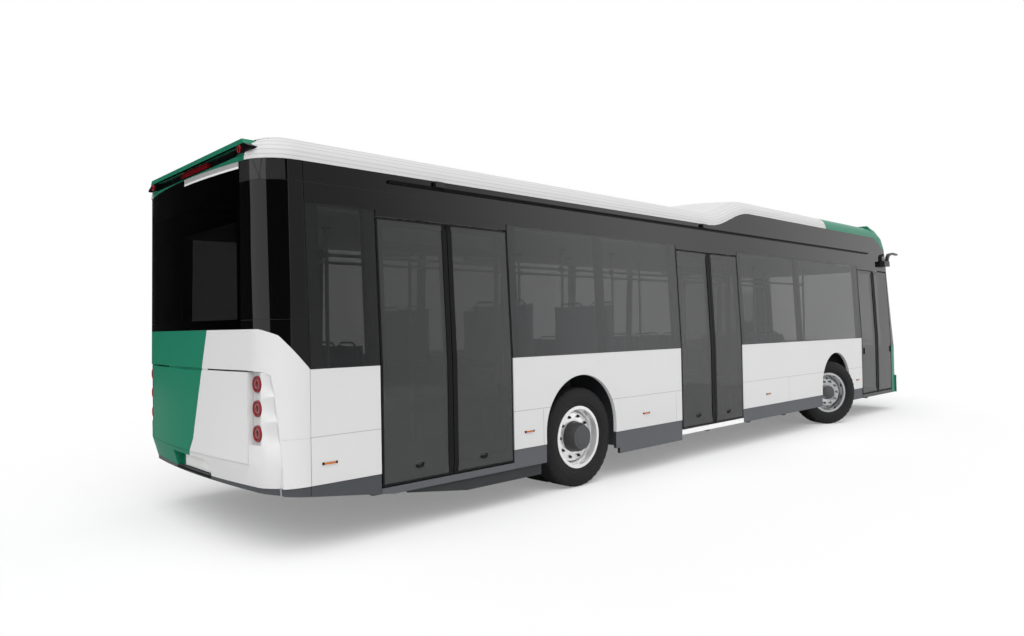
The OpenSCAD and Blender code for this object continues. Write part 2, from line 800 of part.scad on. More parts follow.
// Side view of everything above the line between the green cap and the black brow
module cap_zone(g) {
  along_y(-half_w - 50, half_w + 50) polygon([
    [cap_x, 4000], [cap_x, roof_edge_z + roof_step], [dome_x0, roof_edge_z + roof_step + g],
    [dome_x0 + 480, roof_edge_z + 10 + g], [x_front, roof_edge_z + 10 + g], [x_front, 4000]
  ]);
}
dome_t = 30;
module dome_shell() {
  difference() {
    dome(0);
    translate([-1, 0, -1]) dome(dome_t);
  }
}

module roof_front_cap() {
  color(green) union() {
    difference() {
      roof_run(cap_x + seam, dome_x0 + 0.5, 0);
      translate([-1, 0, -1]) roof_run(cap_x, dome_x0 + 3, roof_t);
    }
    intersection() {
      dome_shell();
      cap_zone(seam);
    }
  }
}

module front_brow() {
  difference() {
    intersection() {
      dome_shell();
      box([dome_x0, -half_w, dome_z0], [x_front, half_w, 4000]);
    }
    cap_zone(0);
  }
}

module front_corner_trims() {
  difference() {
    upper_front(0, front_t);
    box([x_front - 600, -screen_y - seam, 0], [x_front, screen_y + seam, 4000]);
  }
}

module corner_pillars() {
  color(black) union() {
    rear_corner_trims();
    front_corner_trims();
    front_brow();
  }
}

// Wipers: foot and blade's start and end across the screen
wiper_rows = [[-300, -960, -120], [560, -40, 800]];
wiper_z = 1190;
module wipers() {
  color(black) for (w = wiper_rows) raked() union() {
    intersection() {
      end_shell(front_plan(-22), front_plan(-0.4), wiper_z, wiper_z + 26);
      box([x_front - 300, w[1], 0], [x_front + 50, w[2], 4000]);
    }
    intersection() {
      end_shell(front_plan(-22), front_plan(-0.4), screen_z0 + 30, wiper_z + 1);
      box([x_front - 300, w[0] - 16, 0], [x_front + 50, w[0] + 16, 4000]);
    }
  }
}

// Camera pods over the front door, each with an arm that reaches forwards from the corner
pod_x0 = x_front - 710;
pod_x1 = x_front - 470;
pod_z0 = 2500;
pod_z1 = 2590;
pod_out = 80;
arm_z = 2735;
module camera_arms() {
  color(black) both_sides() union() {
    wall(pod_x0, pod_x1, pod_z0, pod_z1, -pod_out, 0);
    for (x = [rear_door_x, mid_door_x]) wall(x - 110, x - 20, gutter_z + gutter_h + 0.4, roof_edge_z - 6,
      -34, 0);
    along_y(-side_y(pod_z0) - pod_out + 4, -side_y(pod_z1) - 30) polygon([
      [pod_x1 - 90, pod_z1 - 20], [pod_x1 - 60, pod_z1 + 70], [pod_x1 + 10, arm_z - 10],
        [x_front - 280, arm_z + 20],
      [x_front - 60, arm_z + 6], [x_front - 60, arm_z - 18], [x_front - 280, arm_z - 8],
        [pod_x1 + 30, arm_z - 45],
      [pod_x1 - 20, pod_z1 + 50], [pod_x1 - 30, pod_z1 - 20]
    ]);
  }
}

// Amber side markers: place along each side
marker_xs = [x_rear + 525, x_rear_axle - 734, x_rear_axle + 1018, x_front_axle - 2180, x_front_axle + 803];
marker_z = 620;
module side_markers() {
  color(amber) both_sides() for (x = marker_xs)
    box([x - 45, -half_w - 8, marker_z - 14], [x + 45, -half_w, marker_z + 14]);
}

// INSIDE

// Double seats: place of the back's rear face, side (1 left, -1 right), facing (1 forwards), base height
wheel_seat_z = box_top_z + box_t - 400;
seats = [
  [x_rear_axle - 2200, 1, 1, floor_z], [x_rear_axle - 1450, 1, 1, floor_z],
    [x_rear_axle + 750, 1, 1, floor_z],
  [x_rear_axle + 1500, 1, 1, floor_z], [x_front_axle - 2350, 1, 1, floor_z],
    [x_front_axle - 1600, 1, 1, floor_z],
  [x_rear_axle + 750, -1, 1, floor_z], [x_front_axle - 2350, -1, 1, floor_z],
    [x_front_axle - 1600, -1, 1, floor_z],
  [x_rear_axle - wheel_gap + 20, 1, 1, wheel_seat_z], [x_rear_axle - wheel_gap + 20, -1, 1, wheel_seat_z],
  [x_rear_axle + wheel_gap - 20, 1, -1, wheel_seat_z], [x_rear_axle + wheel_gap - 20, -1, -1, wheel_seat_z]
];
seat_in_y = 380;
seat_depth = 430;
seat_t = 90;
back_t = 60;
back_h = 640;
seat_rise = 400;
bench_x = x_rear + 240;
bench_z = 800;
bench_y = half_w - 235;
driver_x = x_front - 1620;
driver_y = 625;
driver_w = 450;
driver_seat_z = 900;
module seat_place(s) { translate([s[0], 0, s[3] + seat_rise]) mirror([0, s[1] < 0 ? 1 : 0, 0])
  mirror([s[2] < 0 ? 1 : 0, 0, 0]) children(); }

module seat_cushions() {
  color([0.16, 0.22, 0.28]) union() {
    for (s = seats) seat_place(s) box([back_t, seat_in_y, 0],
      [back_t + seat_depth, half_w - panel_t - 0.3, seat_t]);
    box([bench_x + back_t, -bench_y, bench_z], [bench_x + back_t + 480, bench_y, bench_z + seat_t]);
    box([driver_x, driver_y - driver_w / 2, floor_z],
      [driver_x + 440, driver_y + driver_w / 2, driver_seat_z]);
  }
}

module seat_backs() {
  color([0.2, 0.26, 0.32]) union() {
    for (s = seats) seat_place(s) box([0, seat_in_y, 0], [back_t, half_w - 80, back_h]);
    box([bench_x, -bench_y, bench_z], [bench_x + back_t, bench_y, bench_z + 700]);
    box([driver_x - 80, driver_y - driver_w / 2 + 10, driver_seat_z - 50],
      [driver_x, driver_y + driver_w / 2 - 10, driver_seat_z + 700]);
  }
}

pole_r = 17;
pole_y = 350;
pole_xs = [
  x_rear_axle - 2210, x_rear_axle - 850, x_rear_axle + 750, mid_door_x - 733, mid_door_x + 767,
  x_front_axle - 1600, x_front_axle - 750, x_front - 1800
];
rail_z = 2200;
rail_in_y = pole_y - 2 * pole_r + 2 - 0.4;
module grab_poles() {
  color([0.85, 0.65, 0.1]) both_sides() union() {
    for (x = pole_xs) translate([x, pole_y, floor_z]) cylinder(h = ceiling_z - floor_z, r = pole_r);
    rod([pole_xs[0], rail_in_y, rail_z], [pole_xs[7], rail_in_y, rail_z], pole_r - 2);
  }
}

dash_x = x_front - 820;
dash_y0 = -150;
dash_y1 = 1120;
dash_z = 1000;
module driver_console() {
  color([0.2, 0.2, 0.22]) union() {
    box([dash_x, dash_y0, floor_z], [x_wall - 250, dash_y1, dash_z]);
    rod([dash_x + 100, driver_y, dash_z - 40], [dash_x - 180, driver_y, dash_z + 160], 30);
    translate([dash_x - 180, driver_y, dash_z + 160]) rotate([0, -55, 0]) {
      rotate_extrude() translate([220, 0]) circle(16, $fn = 24);
      box([-220, -20, -10], [220, 20, 10]);
    }
  }
}

module driver_partition() {
  color(tint) box([driver_x - 155, seat_in_y - 8, floor_z], [driver_x - 125, half_w - 85, 2100]);
}

module drive_block() { box([x_rear + 260, -800, deck_z], [x_rear + 870, 800, bench_z]); }
module power_packs() {
  color(steel) union() {
    roof_batteries();
    drive_block();
  }
}
battery_y = 950;
module roof_batteries() {
  box([ramp_x1 + 100, -battery_y, ceiling_z + 25], [cap_x + 900, battery_y, roof_edge_z + roof_step]);
}

// AXLES AND WHEELS

hub_z = tyre_r;
spindle_r = 40;
rear_spindle_r = 60;
bore_gap = 0.05;
beam_z = 250;
link_y = 430;
link_w = 50;
pin_r = 25;
fork_h = 80;

module front_axle() {
  color(steel) union() {
    box([x_front_axle - 50, -620, beam_z - 50], [x_front_axle + 50, 620, beam_z + 50]);
    both_sides() {
      box([x_front_axle - wheel_gap, link_y, beam_z - 20],
        [x_front_axle + wheel_gap, link_y + link_w, beam_z + 40]);
      along_front_arm();
      for (s = [-1, 1]) difference() {
        union() {
          translate([x_front_axle, -kingpin_y, hub_z + s * (fork_h + 20.3) - 20]) cylinder(h = 40, r = 50);
          box([x_front_axle - 40, -kingpin_y, hub_z + s * (fork_h + 20.3) - 20],
            [x_front_axle + 40, -kingpin_y + 130, hub_z + s * (fork_h + 20.3) + 20]);
        }
        translate([x_front_axle, -kingpin_y, hub_z - 200]) cylinder(h = 400, r = pin_r + bore_gap);
      }
    }
  }
}
module along_front_arm() {
  along_x(x_front_axle - 40, x_front_axle + 40) polygon([
    [-kingpin_y + 60, hub_z + fork_h + 40.3], [-kingpin_y + 60, hub_z + fork_h + 0.3],
    [-kingpin_y + 75, hub_z - fork_h - 0.3], [-kingpin_y + 60, hub_z - fork_h - 40.3],
    [-620, beam_z - 50], [-600, beam_z + 50], [-kingpin_y + 150, hub_z - 40],
      [-kingpin_y + 150, hub_z + fork_h + 40.3]
  ]);
}

// Knuckle of the right front wheel, about its kingpin, with the wheel straight ahead
module knuckle() {
  union() {
    cylinder(h = 2 * fork_h, r = 45, center = true);
    cylinder(h = 2 * (fork_h + 40.3), r = pin_r, center = true);
    rotate([90, 0, 0]) cylinder(h = track_half - kingpin_y + 55, r = spindle_r);
  }
}
module on_front(side) {
  translate([x_front_axle, side * kingpin_y, hub_z]) rotate([0, 0, -steer_rest])
    mirror([0, side > 0 ? 1 : 0, 0]) children();
}
module knuckle_right() { color(steel) on_front(-1) knuckle(); }
module knuckle_left() { color(steel) on_front(1) knuckle(); }

// Wheels, about their own axis; z points outboard and is 0 on the outer tyre's middle plane
bead_half = 105;
flange_t = 8;
module tyre() {
  h = tyre_w / 2;
  rotate_extrude($fn = 96) polygon([
    [bead_r, -bead_half], [bead_r + 18, -bead_half], [bead_r + 60, -h + 10], [bead_r + 95, -h],
      [bead_r + 140, -h + 4],
    [tyre_r - 20, -h + 16], [tyre_r - 5, -h + 28], [tyre_r, -h + 44], [tyre_r, h - 44], [tyre_r - 5, h - 28],
    [tyre_r - 20, h - 16], [bead_r + 140, h - 4], [bead_r + 95, h], [bead_r + 60, h - 10],
      [bead_r + 18, bead_half],
    [bead_r, bead_half], [bead_r, bead_half - 22], [bead_r + 95, h - 18], [tyre_r - 25, h - 40],
    [tyre_r - 25, -h + 40], [bead_r + 95, -h + 18], [bead_r, -bead_half + 22]
  ]);
}
module barrel() {
  rotate_extrude($fn = 96) polygon([
    [bead_r - 0.3, -bead_half], [bead_r + 14, -bead_half], [bead_r + 14, -bead_half - flange_t],
      [bead_r - 16, -bead_half - flange_t],
    [bead_r - 36, -60], [bead_r - 36, 60], [bead_r - 16, bead_half + flange_t],
      [bead_r + 14, bead_half + flange_t],
    [bead_r + 14, bead_half], [bead_r - 0.3, bead_half], [bead_r - 0.3, 80], [bead_r - 22, 55],
    [bead_r - 22, -55], [bead_r - 0.3, -80]
  ]);
}
nut_r = 167.5;
hand_r = 205;
module front_rim() {
  difference() {
    union() {
      barrel();
      rotate_extrude($fn = 96) polygon([
        [0, -40], [90, -40], [95, 50], [150, 62], [190, 62], [bead_r - 30, 20], [bead_r - 30, 42], [200, 86],
        [150, 86], [110, 80], [100, 110], [90, 118], [0, 118]
      ]);
    }
    for (i = [0 : 9]) rotate([0, 0, i * 36 + 18]) translate([hand_r + 8, 0, 0]) cylinder(h = 200, r = 16);
    translate([0, 0, -41]) cylinder(h = 116, r = spindle_r + bore_gap);
  }
}
module rear_rim() {
  mid = -twin_pitch / 2;
  difference() {
    union() {
      barrel();
      translate([0, 0, -twin_pitch]) barrel();
      rotate_extrude($fn = 96) polygon([
        [0, mid - 40], [120, mid - 40], [120, mid - 14], [200, mid - 14], [bead_r - 34, mid - 60],
          [bead_r - 30, mid - 100],
        [bead_r - 20, mid - 100], [bead_r - 20, mid - 40], [215, mid], [bead_r - 20, mid + 40],
          [bead_r - 20, mid + 100],
        [bead_r - 30, mid + 100], [bead_r - 34, mid + 60], [200, mid + 14], [142, mid + 14], [138, 60],
          [110, 90], [0, 90]
      ]);
    }
    for (i = [0 : 9]) rotate([0, 0, i * 36 + 18]) translate([hand_r, 0, mid - 100]) cylinder(h = 200, r = 14);
    translate([0, 0, mid - 41]) cylinder(h = 180, r = rear_spindle_r + bore_gap);
  }
}
module front_wheel_place(side) {
  on_front(side) translate([0, -(track_half - kingpin_y), 0]) rotate([90, 0, 0]) children();
}
module rear_wheel_place(side) {
  translate([x_rear_axle, 0, hub_z]) mirror([0, side > 0 ? 1 : 0, 0]) translate([0, -track_half, 0])
    rotate([90, 0, 0]) children();
}
rubber = [0.1, 0.1, 0.1];
alloy = [0.7, 0.71, 0.72];
module tyre_front_left() { color(rubber) front_wheel_place(1) tyre(); }
module tyre_front_right() { color(rubber) front_wheel_place(-1) tyre(); }
module rim_front_left() { color(alloy) front_wheel_place(1) front_rim(); }
module rim_front_right() { color(alloy) front_wheel_place(-1) front_rim(); }
module twin_tyres() { tyre(); translate([0, 0, -twin_pitch]) tyre(); }
module tyres_rear_left() { color(rubber) rear_wheel_place(1) twin_tyres(); }
module tyres_rear_right() { color(rubber) rear_wheel_place(-1) twin_tyres(); }
module rim_rear_left() { color(alloy) rear_wheel_place(1) rear_rim(); }
module rim_rear_right() { color(alloy) rear_wheel_place(-1) rear_rim(); }

portal_y = 575;
portal_t = 55;
module rear_axle() {
  color(steel) union() {
    box([x_rear_axle - 70, -portal_y - 20, beam_z - 60], [x_rear_axle + 70, portal_y + 20, beam_z + 55]);
    both_sides() {
      box([x_rear_axle - wheel_gap, link_y, beam_z - 20],
        [x_rear_axle + wheel_gap, link_y + link_w, beam_z + 40]);
      along_y(-portal_y - portal_t, -portal_y) union() {
        translate([x_rear_axle, hub_z]) circle(130);
        translate([x_rear_axle - 100, beam_z - 60]) square([200, hub_z - beam_z + 60]);
      }
      translate([x_rear_axle, -portal_y, hub_z]) rotate([90, 0, 0])
        cylinder(h = track_half - twin_pitch / 2 + 90 - portal_y, r = rear_spindle_r);
    }
  }
}

// DOORS

post_y = 1130;
post_in = 45;
swing = 150;
arm_zs = [900, 2150];
arm_h = 30;
arm_w = 20;
eye_r = 16;
eye_pin_r = 8;
frame_w = 55;
rubber_w = 45;
meet_gap = 4;
front_meet_gap = 10;
front_post_y = half_w - 85;
front_post_in = 50;

// Leaf on the rear half of doorway i, and the same leaf mirrored for the front half
module leaf_half(i, b) { translate([doorways[i][0], 0, 0]) mirror([b ? 1 : 0, 0, 0]) children(); }
module leaf_frame(w, meet) {
  difference() {
    wall(-w / 2, -meet, door_z0, door_z1, glass_t + 2, glass_t + 2 + leaf_t);
    wall(-w / 2 + frame_w, -meet - frame_w, door_z0 + frame_w + 30, door_z1 - frame_w, -10, 100);
  }
}
module leaf_glass(w, meet) { wall(-w / 2, -meet - rubber_w, door_z0, door_z1, 2, 2 + glass_t - 0.4); }
module leaf_rubber(meet) {
  wall(-meet - rubber_w + 0.4, -meet, door_z0, door_z1, glass_t, glass_t + 2 + leaf_t);
  wall(-meet - rubber_w + 0.4, -meet, door_z0 + 60, door_z1 - 45, -6, glass_t + 1);
}
// Frame of an outward-swinging leaf with its two pivot brackets
module swing_frame() {
  union() {
    leaf_frame(door_w, meet_gap);
    leaf_rubber(meet_gap);
    for (z = arm_zs) {
      x = -door_w / 2 + post_in + arm_r;
      y1 = -(side_y(z + 50) - glass_t - 2 - leaf_t / 2);
      box([-door_w / 2 + 10, y1, z + arm_h / 2 + 0.3], [-meet_gap - 10, y1 + leaf_t + 4, z + arm_h / 2 + 60]);
      box([x - eye_r, y1, z + arm_h / 2 + 0.3], [x + eye_r, -post_y, z + arm_h / 2 + 30]);
      translate([x, -post_y, z - arm_h / 2]) cylinder(h = arm_h + 30, r = eye_pin_r);
      translate([x, -post_y, z + arm_h / 2 + 0.3]) cylinder(h = 29.7, r = eye_r);
    }
  }
}
// Outline of a bent bar of half-width h along a path, mitred at its bends
function left_of(p, q) = let (d = (q - p) / norm(q - p)) [-d[1], d[0]];
function bar_point(path, i, h) = let (
  n1 = i == 0 ? left_of(path[0], path[1]) : left_of(path[i - 1], path[i]),
  n2 = i == len(path) - 1 ? n1 : left_of(path[i], path[i + 1]),
  m = (n1 + n2) / norm(n1 + n2)
) path[i] + m * h / (m * n1);
function ribbon(path, h) = concat(
  [for (i = [0 : len(path) - 1]) bar_point(path, i, h)],
  [for (i = [len(path) - 1 : -1 : 0]) bar_point(path, i, -h)]
);
// Turning post with its two gooseneck arms, about the post's axis
arm_path = [[0, 0], [60, 150], [140, 150], [arm_r - 45, 60], [arm_r, 0]];
module swing_post() {
  translate([-door_w / 2 + post_in, -post_y, 0]) union() {
    translate([0, 0, floor_z + 0.3]) cylinder(h = door_z1 - 10 - floor_z, r = post_r);
    for (z = arm_zs) difference() {
      translate([0, 0, z - arm_h / 2]) union() {
        linear_extrude(arm_h) polygon(ribbon(arm_path, arm_w / 2));
        translate([arm_r, 0, 0]) cylinder(h = arm_h, r = eye_r);
      }
      translate([arm_r, 0, z - 100]) cylinder(h = 200, r = eye_pin_r + bore_gap);
    }
  }
}
// Frame of an inward-swinging leaf with the post it turns on
module front_frame() {
  union() {
    leaf_frame(front_door_w, front_meet_gap);
    leaf_rubber(front_meet_gap);
    translate([-front_door_w / 2 + front_post_in, -front_post_y, floor_z + 0.3])
      cylinder(h = door_z1 - 20 - floor_z, r = 15);
    for (z = [520, 1150])
      box([-front_door_w / 2 + 10, -(half_w - glass_t - 10), z],
        [-front_door_w / 2 + 90, -front_post_y, z + 60]);
  }
}

module door1_frame_a() { color(black) leaf_half(2, false) front_frame(); }
module door1_glass_a() { color(tint) leaf_half(2, false) leaf_glass(front_door_w, front_meet_gap); }
module door1_frame_b() { color(black) leaf_half(2, true) front_frame(); }
module door1_glass_b() { color(tint) leaf_half(2, true) leaf_glass(front_door_w, front_meet_gap); }
module door2_post_a() { color(steel) leaf_half(1, false) swing_post(); }
module door2_frame_a() { color(black) leaf_half(1, false) swing_frame(); }
module door2_glass_a() { color(tint) leaf_half(1, false) leaf_glass(door_w, meet_gap); }
module door2_post_b() { color(steel) leaf_half(1, true) swing_post(); }
module door2_frame_b() { color(black) leaf_half(1, true) swing_frame(); }
module door2_glass_b() { color(tint) leaf_half(1, true) leaf_glass(door_w, meet_gap); }
module door3_post_a() { color(steel) leaf_half(0, false) swing_post(); }
module door3_frame_a() { color(black) leaf_half(0, false) swing_frame(); }
module door3_glass_a() { color(tint) leaf_half(0, false) leaf_glass(door_w, meet_gap); }
module door3_post_b() { color(steel) leaf_half(0, true) swing_post(); }
module door3_frame_b() { color(black) leaf_half(0, true) swing_frame(); }
module door3_glass_b() { color(tint) leaf_half(0, true) leaf_glass(door_w, meet_gap); }

// One line per node
underframe();
floor_pan();
side_panels();
skirts();
door_sills();
side_pillars();
side_glass();
cant_rails();
roof_cover();
roof_front_cap();
ceiling();
power_packs();
corner_pillars();
rear_bumper();
rear_flap();
rear_hood();
rear_window();
rear_spoiler();
rear_display();
tail_lamps();
number_plate();
front_panel();
windscreen();
headlamps();
wipers();
camera_arms();
side_markers();
seat_cushions();
seat_backs();
grab_poles();
driver_console();
driver_partition();
front_axle();
rear_axle();
knuckle_left();
knuckle_right();
tyre_front_left();
rim_front_left();
tyre_front_right();
rim_front_right();
tyres_rear_left();
rim_rear_left();
tyres_rear_right();
rim_rear_right();
door1_frame_a();
door1_glass_a();
door1_frame_b();
door1_glass_b();
door2_post_a();
door2_frame_a();
door2_glass_a();
door2_post_b();
door2_frame_b();
door2_glass_b();
door3_post_a();
door3_frame_a();
door3_glass_a();
door3_post_b();
door3_frame_b();
door3_glass_b();
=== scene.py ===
import math

import bpy
from mathutils import Matrix, Vector


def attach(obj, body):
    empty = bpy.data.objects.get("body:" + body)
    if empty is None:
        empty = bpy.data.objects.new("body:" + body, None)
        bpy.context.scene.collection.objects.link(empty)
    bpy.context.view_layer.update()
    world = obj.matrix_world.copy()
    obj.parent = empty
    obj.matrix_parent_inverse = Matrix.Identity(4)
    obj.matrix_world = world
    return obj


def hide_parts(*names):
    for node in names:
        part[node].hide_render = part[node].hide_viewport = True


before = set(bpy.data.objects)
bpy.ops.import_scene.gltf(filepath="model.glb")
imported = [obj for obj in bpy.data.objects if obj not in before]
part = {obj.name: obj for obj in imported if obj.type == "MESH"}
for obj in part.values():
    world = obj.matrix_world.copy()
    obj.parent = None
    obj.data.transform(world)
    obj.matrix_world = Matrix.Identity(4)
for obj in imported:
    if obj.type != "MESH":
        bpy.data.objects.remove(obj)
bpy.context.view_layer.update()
scene = bpy.context.scene
scene.view_settings.view_transform = "Standard"

# Studio. The camera stands behind the right rear corner at eye height. A pale floor fades into
# a white surround; two broad lamps light it, and flags and a graded card shape the reflections.
yaw, pitch, roll = (math.radians(a) for a in (43.64, 0.77, -1.0))
look = Vector((math.sin(yaw) * math.cos(pitch), math.cos(yaw) * math.cos(pitch), math.sin(pitch)))
level = look.cross(Vector((0, 0, 1))).normalized()
upright = level.cross(look)
across = math.cos(roll) * level + math.sin(roll) * upright
upwards = math.cos(roll) * upright - math.sin(roll) * level
camera = bpy.data.objects.new("camera", bpy.data.cameras.new("camera"))
camera.data.lens = 25.485
camera.data.sensor_width = 36
camera.data.clip_end = 300
camera.matrix_world = Matrix((across, upwards, -look)).transposed().to_4x4()
camera.location = (-7.969, -5.88, 1.549)
scene.collection.objects.link(camera)
scene.camera = camera


def wire(tree, target, inputs):
    # Sets each input to a constant, or links it when the value is another node's output.
    for key, value in inputs.items():
        if isinstance(value, bpy.types.NodeSocket):
            tree.links.new(value, target.inputs[key])
        else:
            target.inputs[key].default_value = value


def node(tree, kind, inputs=None, **settings):
    made = tree.nodes.new(kind)
    for key, value in settings.items():
        setattr(made, key, value)
    wire(tree, made, inputs or {})
    return made


def calc(tree, operation, *values, clamp=False):
    inputs = dict(enumerate(values))
    return node(tree, "ShaderNodeMath", inputs, operation=operation, use_clamp=clamp).outputs[0]


def blend(tree, share, first, second):
    inputs = {"Factor": share, "A": first, "B": second}
    return node(tree, "ShaderNodeMix", inputs, data_type="RGBA").outputs["Result"]


def ramp(tree, value, low, high, to_low=0.0, to_high=1.0, ease="LINEAR"):
    inputs = {"Value": value, "From Min": low, "From Max": high, "To Min": to_low, "To Max": to_high}
    return node(tree, "ShaderNodeMapRange", inputs, interpolation_type=ease).outputs[0]


def spot(tree):
    return node(tree, "ShaderNodeTexCoord").outputs["Object"]


def place_of(tree):
    parts = node(tree, "ShaderNodeSeparateXYZ", {0: spot(tree)})
    return parts.outputs["X"], parts.outputs["Y"], parts.outputs["Z"]


def new_material(name):
    material = bpy.data.materials.new(name)
    material.use_nodes = True
    return material, material.node_tree, material.node_tree.nodes["Principled BSDF"]


def mesh_piece(name, form, material, body=None):
    # A form is a list of points and a list of faces. Studio pieces have no body.
    mesh = bpy.data.meshes.new(name)
    mesh.from_pydata([tuple(v) for v in form[0]], [], form[1])
    mesh.materials.append(material)
    mesh.update()
    piece = bpy.data.objects.new(name, mesh)
    scene.collection.objects.link(piece)
    if body:
        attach(piece, body)
    return piece


world = bpy.data.worlds.new("white_surround")
world.use_nodes = True
scene.world = world
sky = world.node_tree
sky.nodes.clear()
ray = node(sky, "ShaderNodeLightPath").outputs
seen = calc(sky, "MAXIMUM", ray["Is Camera Ray"], ray["Is Glossy Ray"])
seen = calc(sky, "MAXIMUM", seen, ray["Is Transmission Ray"])
fill, white = (
    node(sky, "ShaderNodeBackground", {"Color": (1, 1, 1, 1), "Strength": strength}).outputs[0]
    for strength in (0.38, 1.0))
choice = node(sky, "ShaderNodeMixShader", {0: seen, 1: fill, 2: white})
node(sky, "ShaderNodeOutputWorld", {0: choice.outputs[0]})

for lamp_name, strength, spread, turn in (
    ("overhead_lamp", 1.9, 70, (18, -22, 0)),
    ("side_lamp", 0.95, 80, (62, 0, -32)),
):
    lamp = bpy.data.objects.new(lamp_name, bpy.data.lights.new(lamp_name, "SUN"))
    lamp.data.energy = strength
    lamp.data.angle = math.radians(spread)
    lamp.rotation_euler = [math.radians(a) for a in turn]
    lamp.visible_glossy = False
    scene.collection.objects.link(lamp)

floor_paper, paper, paper_skin = new_material("floor_paper")
paper_far = node(paper, "ShaderNodeVectorMath", {0: spot(paper)}, operation="LENGTH").outputs["Value"]
paper_fade = ramp(paper, paper_far, 8.0, 17.0, 1.0, 0.0, "SMOOTHSTEP")
paper_ray = node(paper, "ShaderNodeLightPath").outputs["Is Camera Ray"]
paper_tone = blend(paper, paper_ray, (0.77, 0.77, 0.77, 1), (0.97, 0.97, 0.97, 1))
wire(paper, paper_skin, {
    "Base Color": paper_tone, "Roughness": 0.9, "Specular IOR Level": 0.1, "Alpha": paper_fade})
paper_glow = node(paper, "ShaderNodeEmission").outputs[0]
glow_share = calc(paper, "MULTIPLY", paper_ray, calc(paper, "MULTIPLY", paper_fade, 0.25))
paper_mix = node(paper, "ShaderNodeMixShader", {0: glow_share, 1: paper_skin.outputs[0], 2: paper_glow})
wire(paper, paper.nodes["Material Output"], {"Surface": paper_mix.outputs[0]})
sheet = ([(-40, -40, 0), (40, -40, 0), (40, 40, 0), (-40, 40, 0)], [(0, 1, 2, 3)])
mesh_piece("floor_sheet", sheet, floor_paper)

wall_x, wall_radius, wall_top = -6, 16, 14


def add_wall(form, start, end, steps):
    # Upright wall on a circle about the bus's tail, between two bearings in degrees.
    verts, faces = form
    k = len(verts)
    for step in range(steps + 1):
        bearing = math.radians(start + (end - start) * step / steps)
        x, y = wall_x + wall_radius * math.cos(bearing), wall_radius * math.sin(bearing)
        verts += [(x, y, 0.02), (x, y, wall_top)]
    faces += [(k + 2 * i, k + 2 * i + 2, k + 2 * i + 3, k + 2 * i + 1) for i in range(steps)]


flag_cloth, flag_tree, flag_skin = new_material("flag_cloth")
wire(flag_tree, flag_skin, {"Base Color": (0.01, 0.01, 0.01, 1), "Roughness": 1.0})
flags = ([], [])
add_wall(flags, 50, 157, 12)
add_wall(flags, 211, 266, 12)
card_paper, card_tree, card_skin = new_material("card_paper")
card_tree.nodes.remove(card_skin)
card_x, card_y, _ = place_of(card_tree)
card_bearing = calc(card_tree, "ARCTAN2", card_y, calc(card_tree, "SUBTRACT", card_x, wall_x))
card_rise = ramp(card_tree, card_bearing, math.radians(-62), math.radians(-33), 0.42, 1.32, "SMOOTHSTEP")
card_fall = ramp(card_tree, card_bearing, math.radians(-31), math.radians(-20), 1.0, 0.72, "SMOOTHSTEP")
card_strength = calc(card_tree, "MULTIPLY", card_rise, card_fall)
card_glow = node(card_tree, "ShaderNodeEmission", {"Strength": card_strength})
wire(card_tree, card_tree.nodes["Material Output"], {"Surface": card_glow.outputs[0]})
card = ([], [])
add_wall(card, -93, -3, 24)
for screen in (mesh_piece("studio_flags", flags, flag_cloth), mesh_piece("graded_card", card, card_paper)):
    screen.visible_camera = False
    screen.visible_diffuse = False
    screen.visible_shadow = False
    screen.visible_transmission = False

# Underframe, axles and steering knuckles. Welded and cast steel under black chassis paint,
# bolted up under the floor; road film lies thickest low down.


def tint(code):
    parts = [int(code[i:i + 2], 16) / 255 for i in (0, 2, 4)]
    return tuple(c / 12.92 if c <= 0.04045 else ((c + 0.055) / 1.055) ** 2.4 for c in parts) + (1.0,)


def group(name, inputs, outputs):
    tree = bpy.data.node_groups.new(name, "ShaderNodeTree")
    for label, kind, value in inputs:
        made = tree.interface.new_socket(label, in_out="INPUT", socket_type="NodeSocket" + kind)
        made.default_value = value
    for label, kind in outputs:
        tree.interface.new_socket(label, in_out="OUTPUT", socket_type="NodeSocket" + kind)
    return tree, node(tree, "NodeGroupInput").outputs, node(tree, "NodeGroupOutput")


def noise(tree, where, scale, detail):
    inputs = {"Vector": where, "Scale": scale, "Detail": detail}
    return node(tree, "ShaderNodeTexNoise", inputs).outputs["Fac"]


road_film, film_in, film_out = group(
    "road_film",
    (("Colour", "Color", (0.5, 0.5, 0.5, 1)), ("Roughness", "Float", 0.4), ("Film Top", "Float", 1.0),
     ("Film", "Float", 0.2), ("Peel", "Float", 320.0)),
    (("Colour", "Color"), ("Roughness", "Float"), ("Height", "Float")))
film_place = spot(road_film)
film_low = calc(road_film, "DIVIDE", place_of(road_film)[2], film_in["Film Top"])
film_low = calc(road_film, "SUBTRACT", 1.0, film_low, clamp=True)
film_low = calc(road_film, "MULTIPLY", film_low, film_low)
film_cloud = noise(road_film, film_place, 2.6, 7.0)
film_mask = calc(road_film, "MULTIPLY", film_low, film_cloud)
film_mask = calc(road_film, "MULTIPLY", film_mask, film_in["Film"], clamp=True)
film_tone = calc(road_film, "MULTIPLY_ADD", noise(road_film, film_place, 0.8, 2.0), 0.05, 0.975)
film_toned = node(
    road_film, "ShaderNodeVectorMath", {0: film_in["Colour"], "Scale": film_tone},
    operation="SCALE").outputs[0]
film_rough = calc(road_film, "MULTIPLY_ADD", film_mask, 0.45, film_in["Roughness"])
wire(road_film, film_out, {
    "Colour": blend(road_film, film_mask, film_toned, (0.22, 0.215, 0.21, 1)),
    "Roughness": calc(road_film, "MULTIPLY_ADD", film_cloud, 0.04, film_rough),
    "Height": noise(road_film, film_place, film_in["Peel"], 1.0)})


def bumped(tree, skin, height, strength, distance, invert=False):
    inputs = {"Height": height, "Strength": strength, "Distance": distance}
    wire(tree, skin, {"Normal": node(tree, "ShaderNodeBump", inputs, invert=invert).outputs[0]})


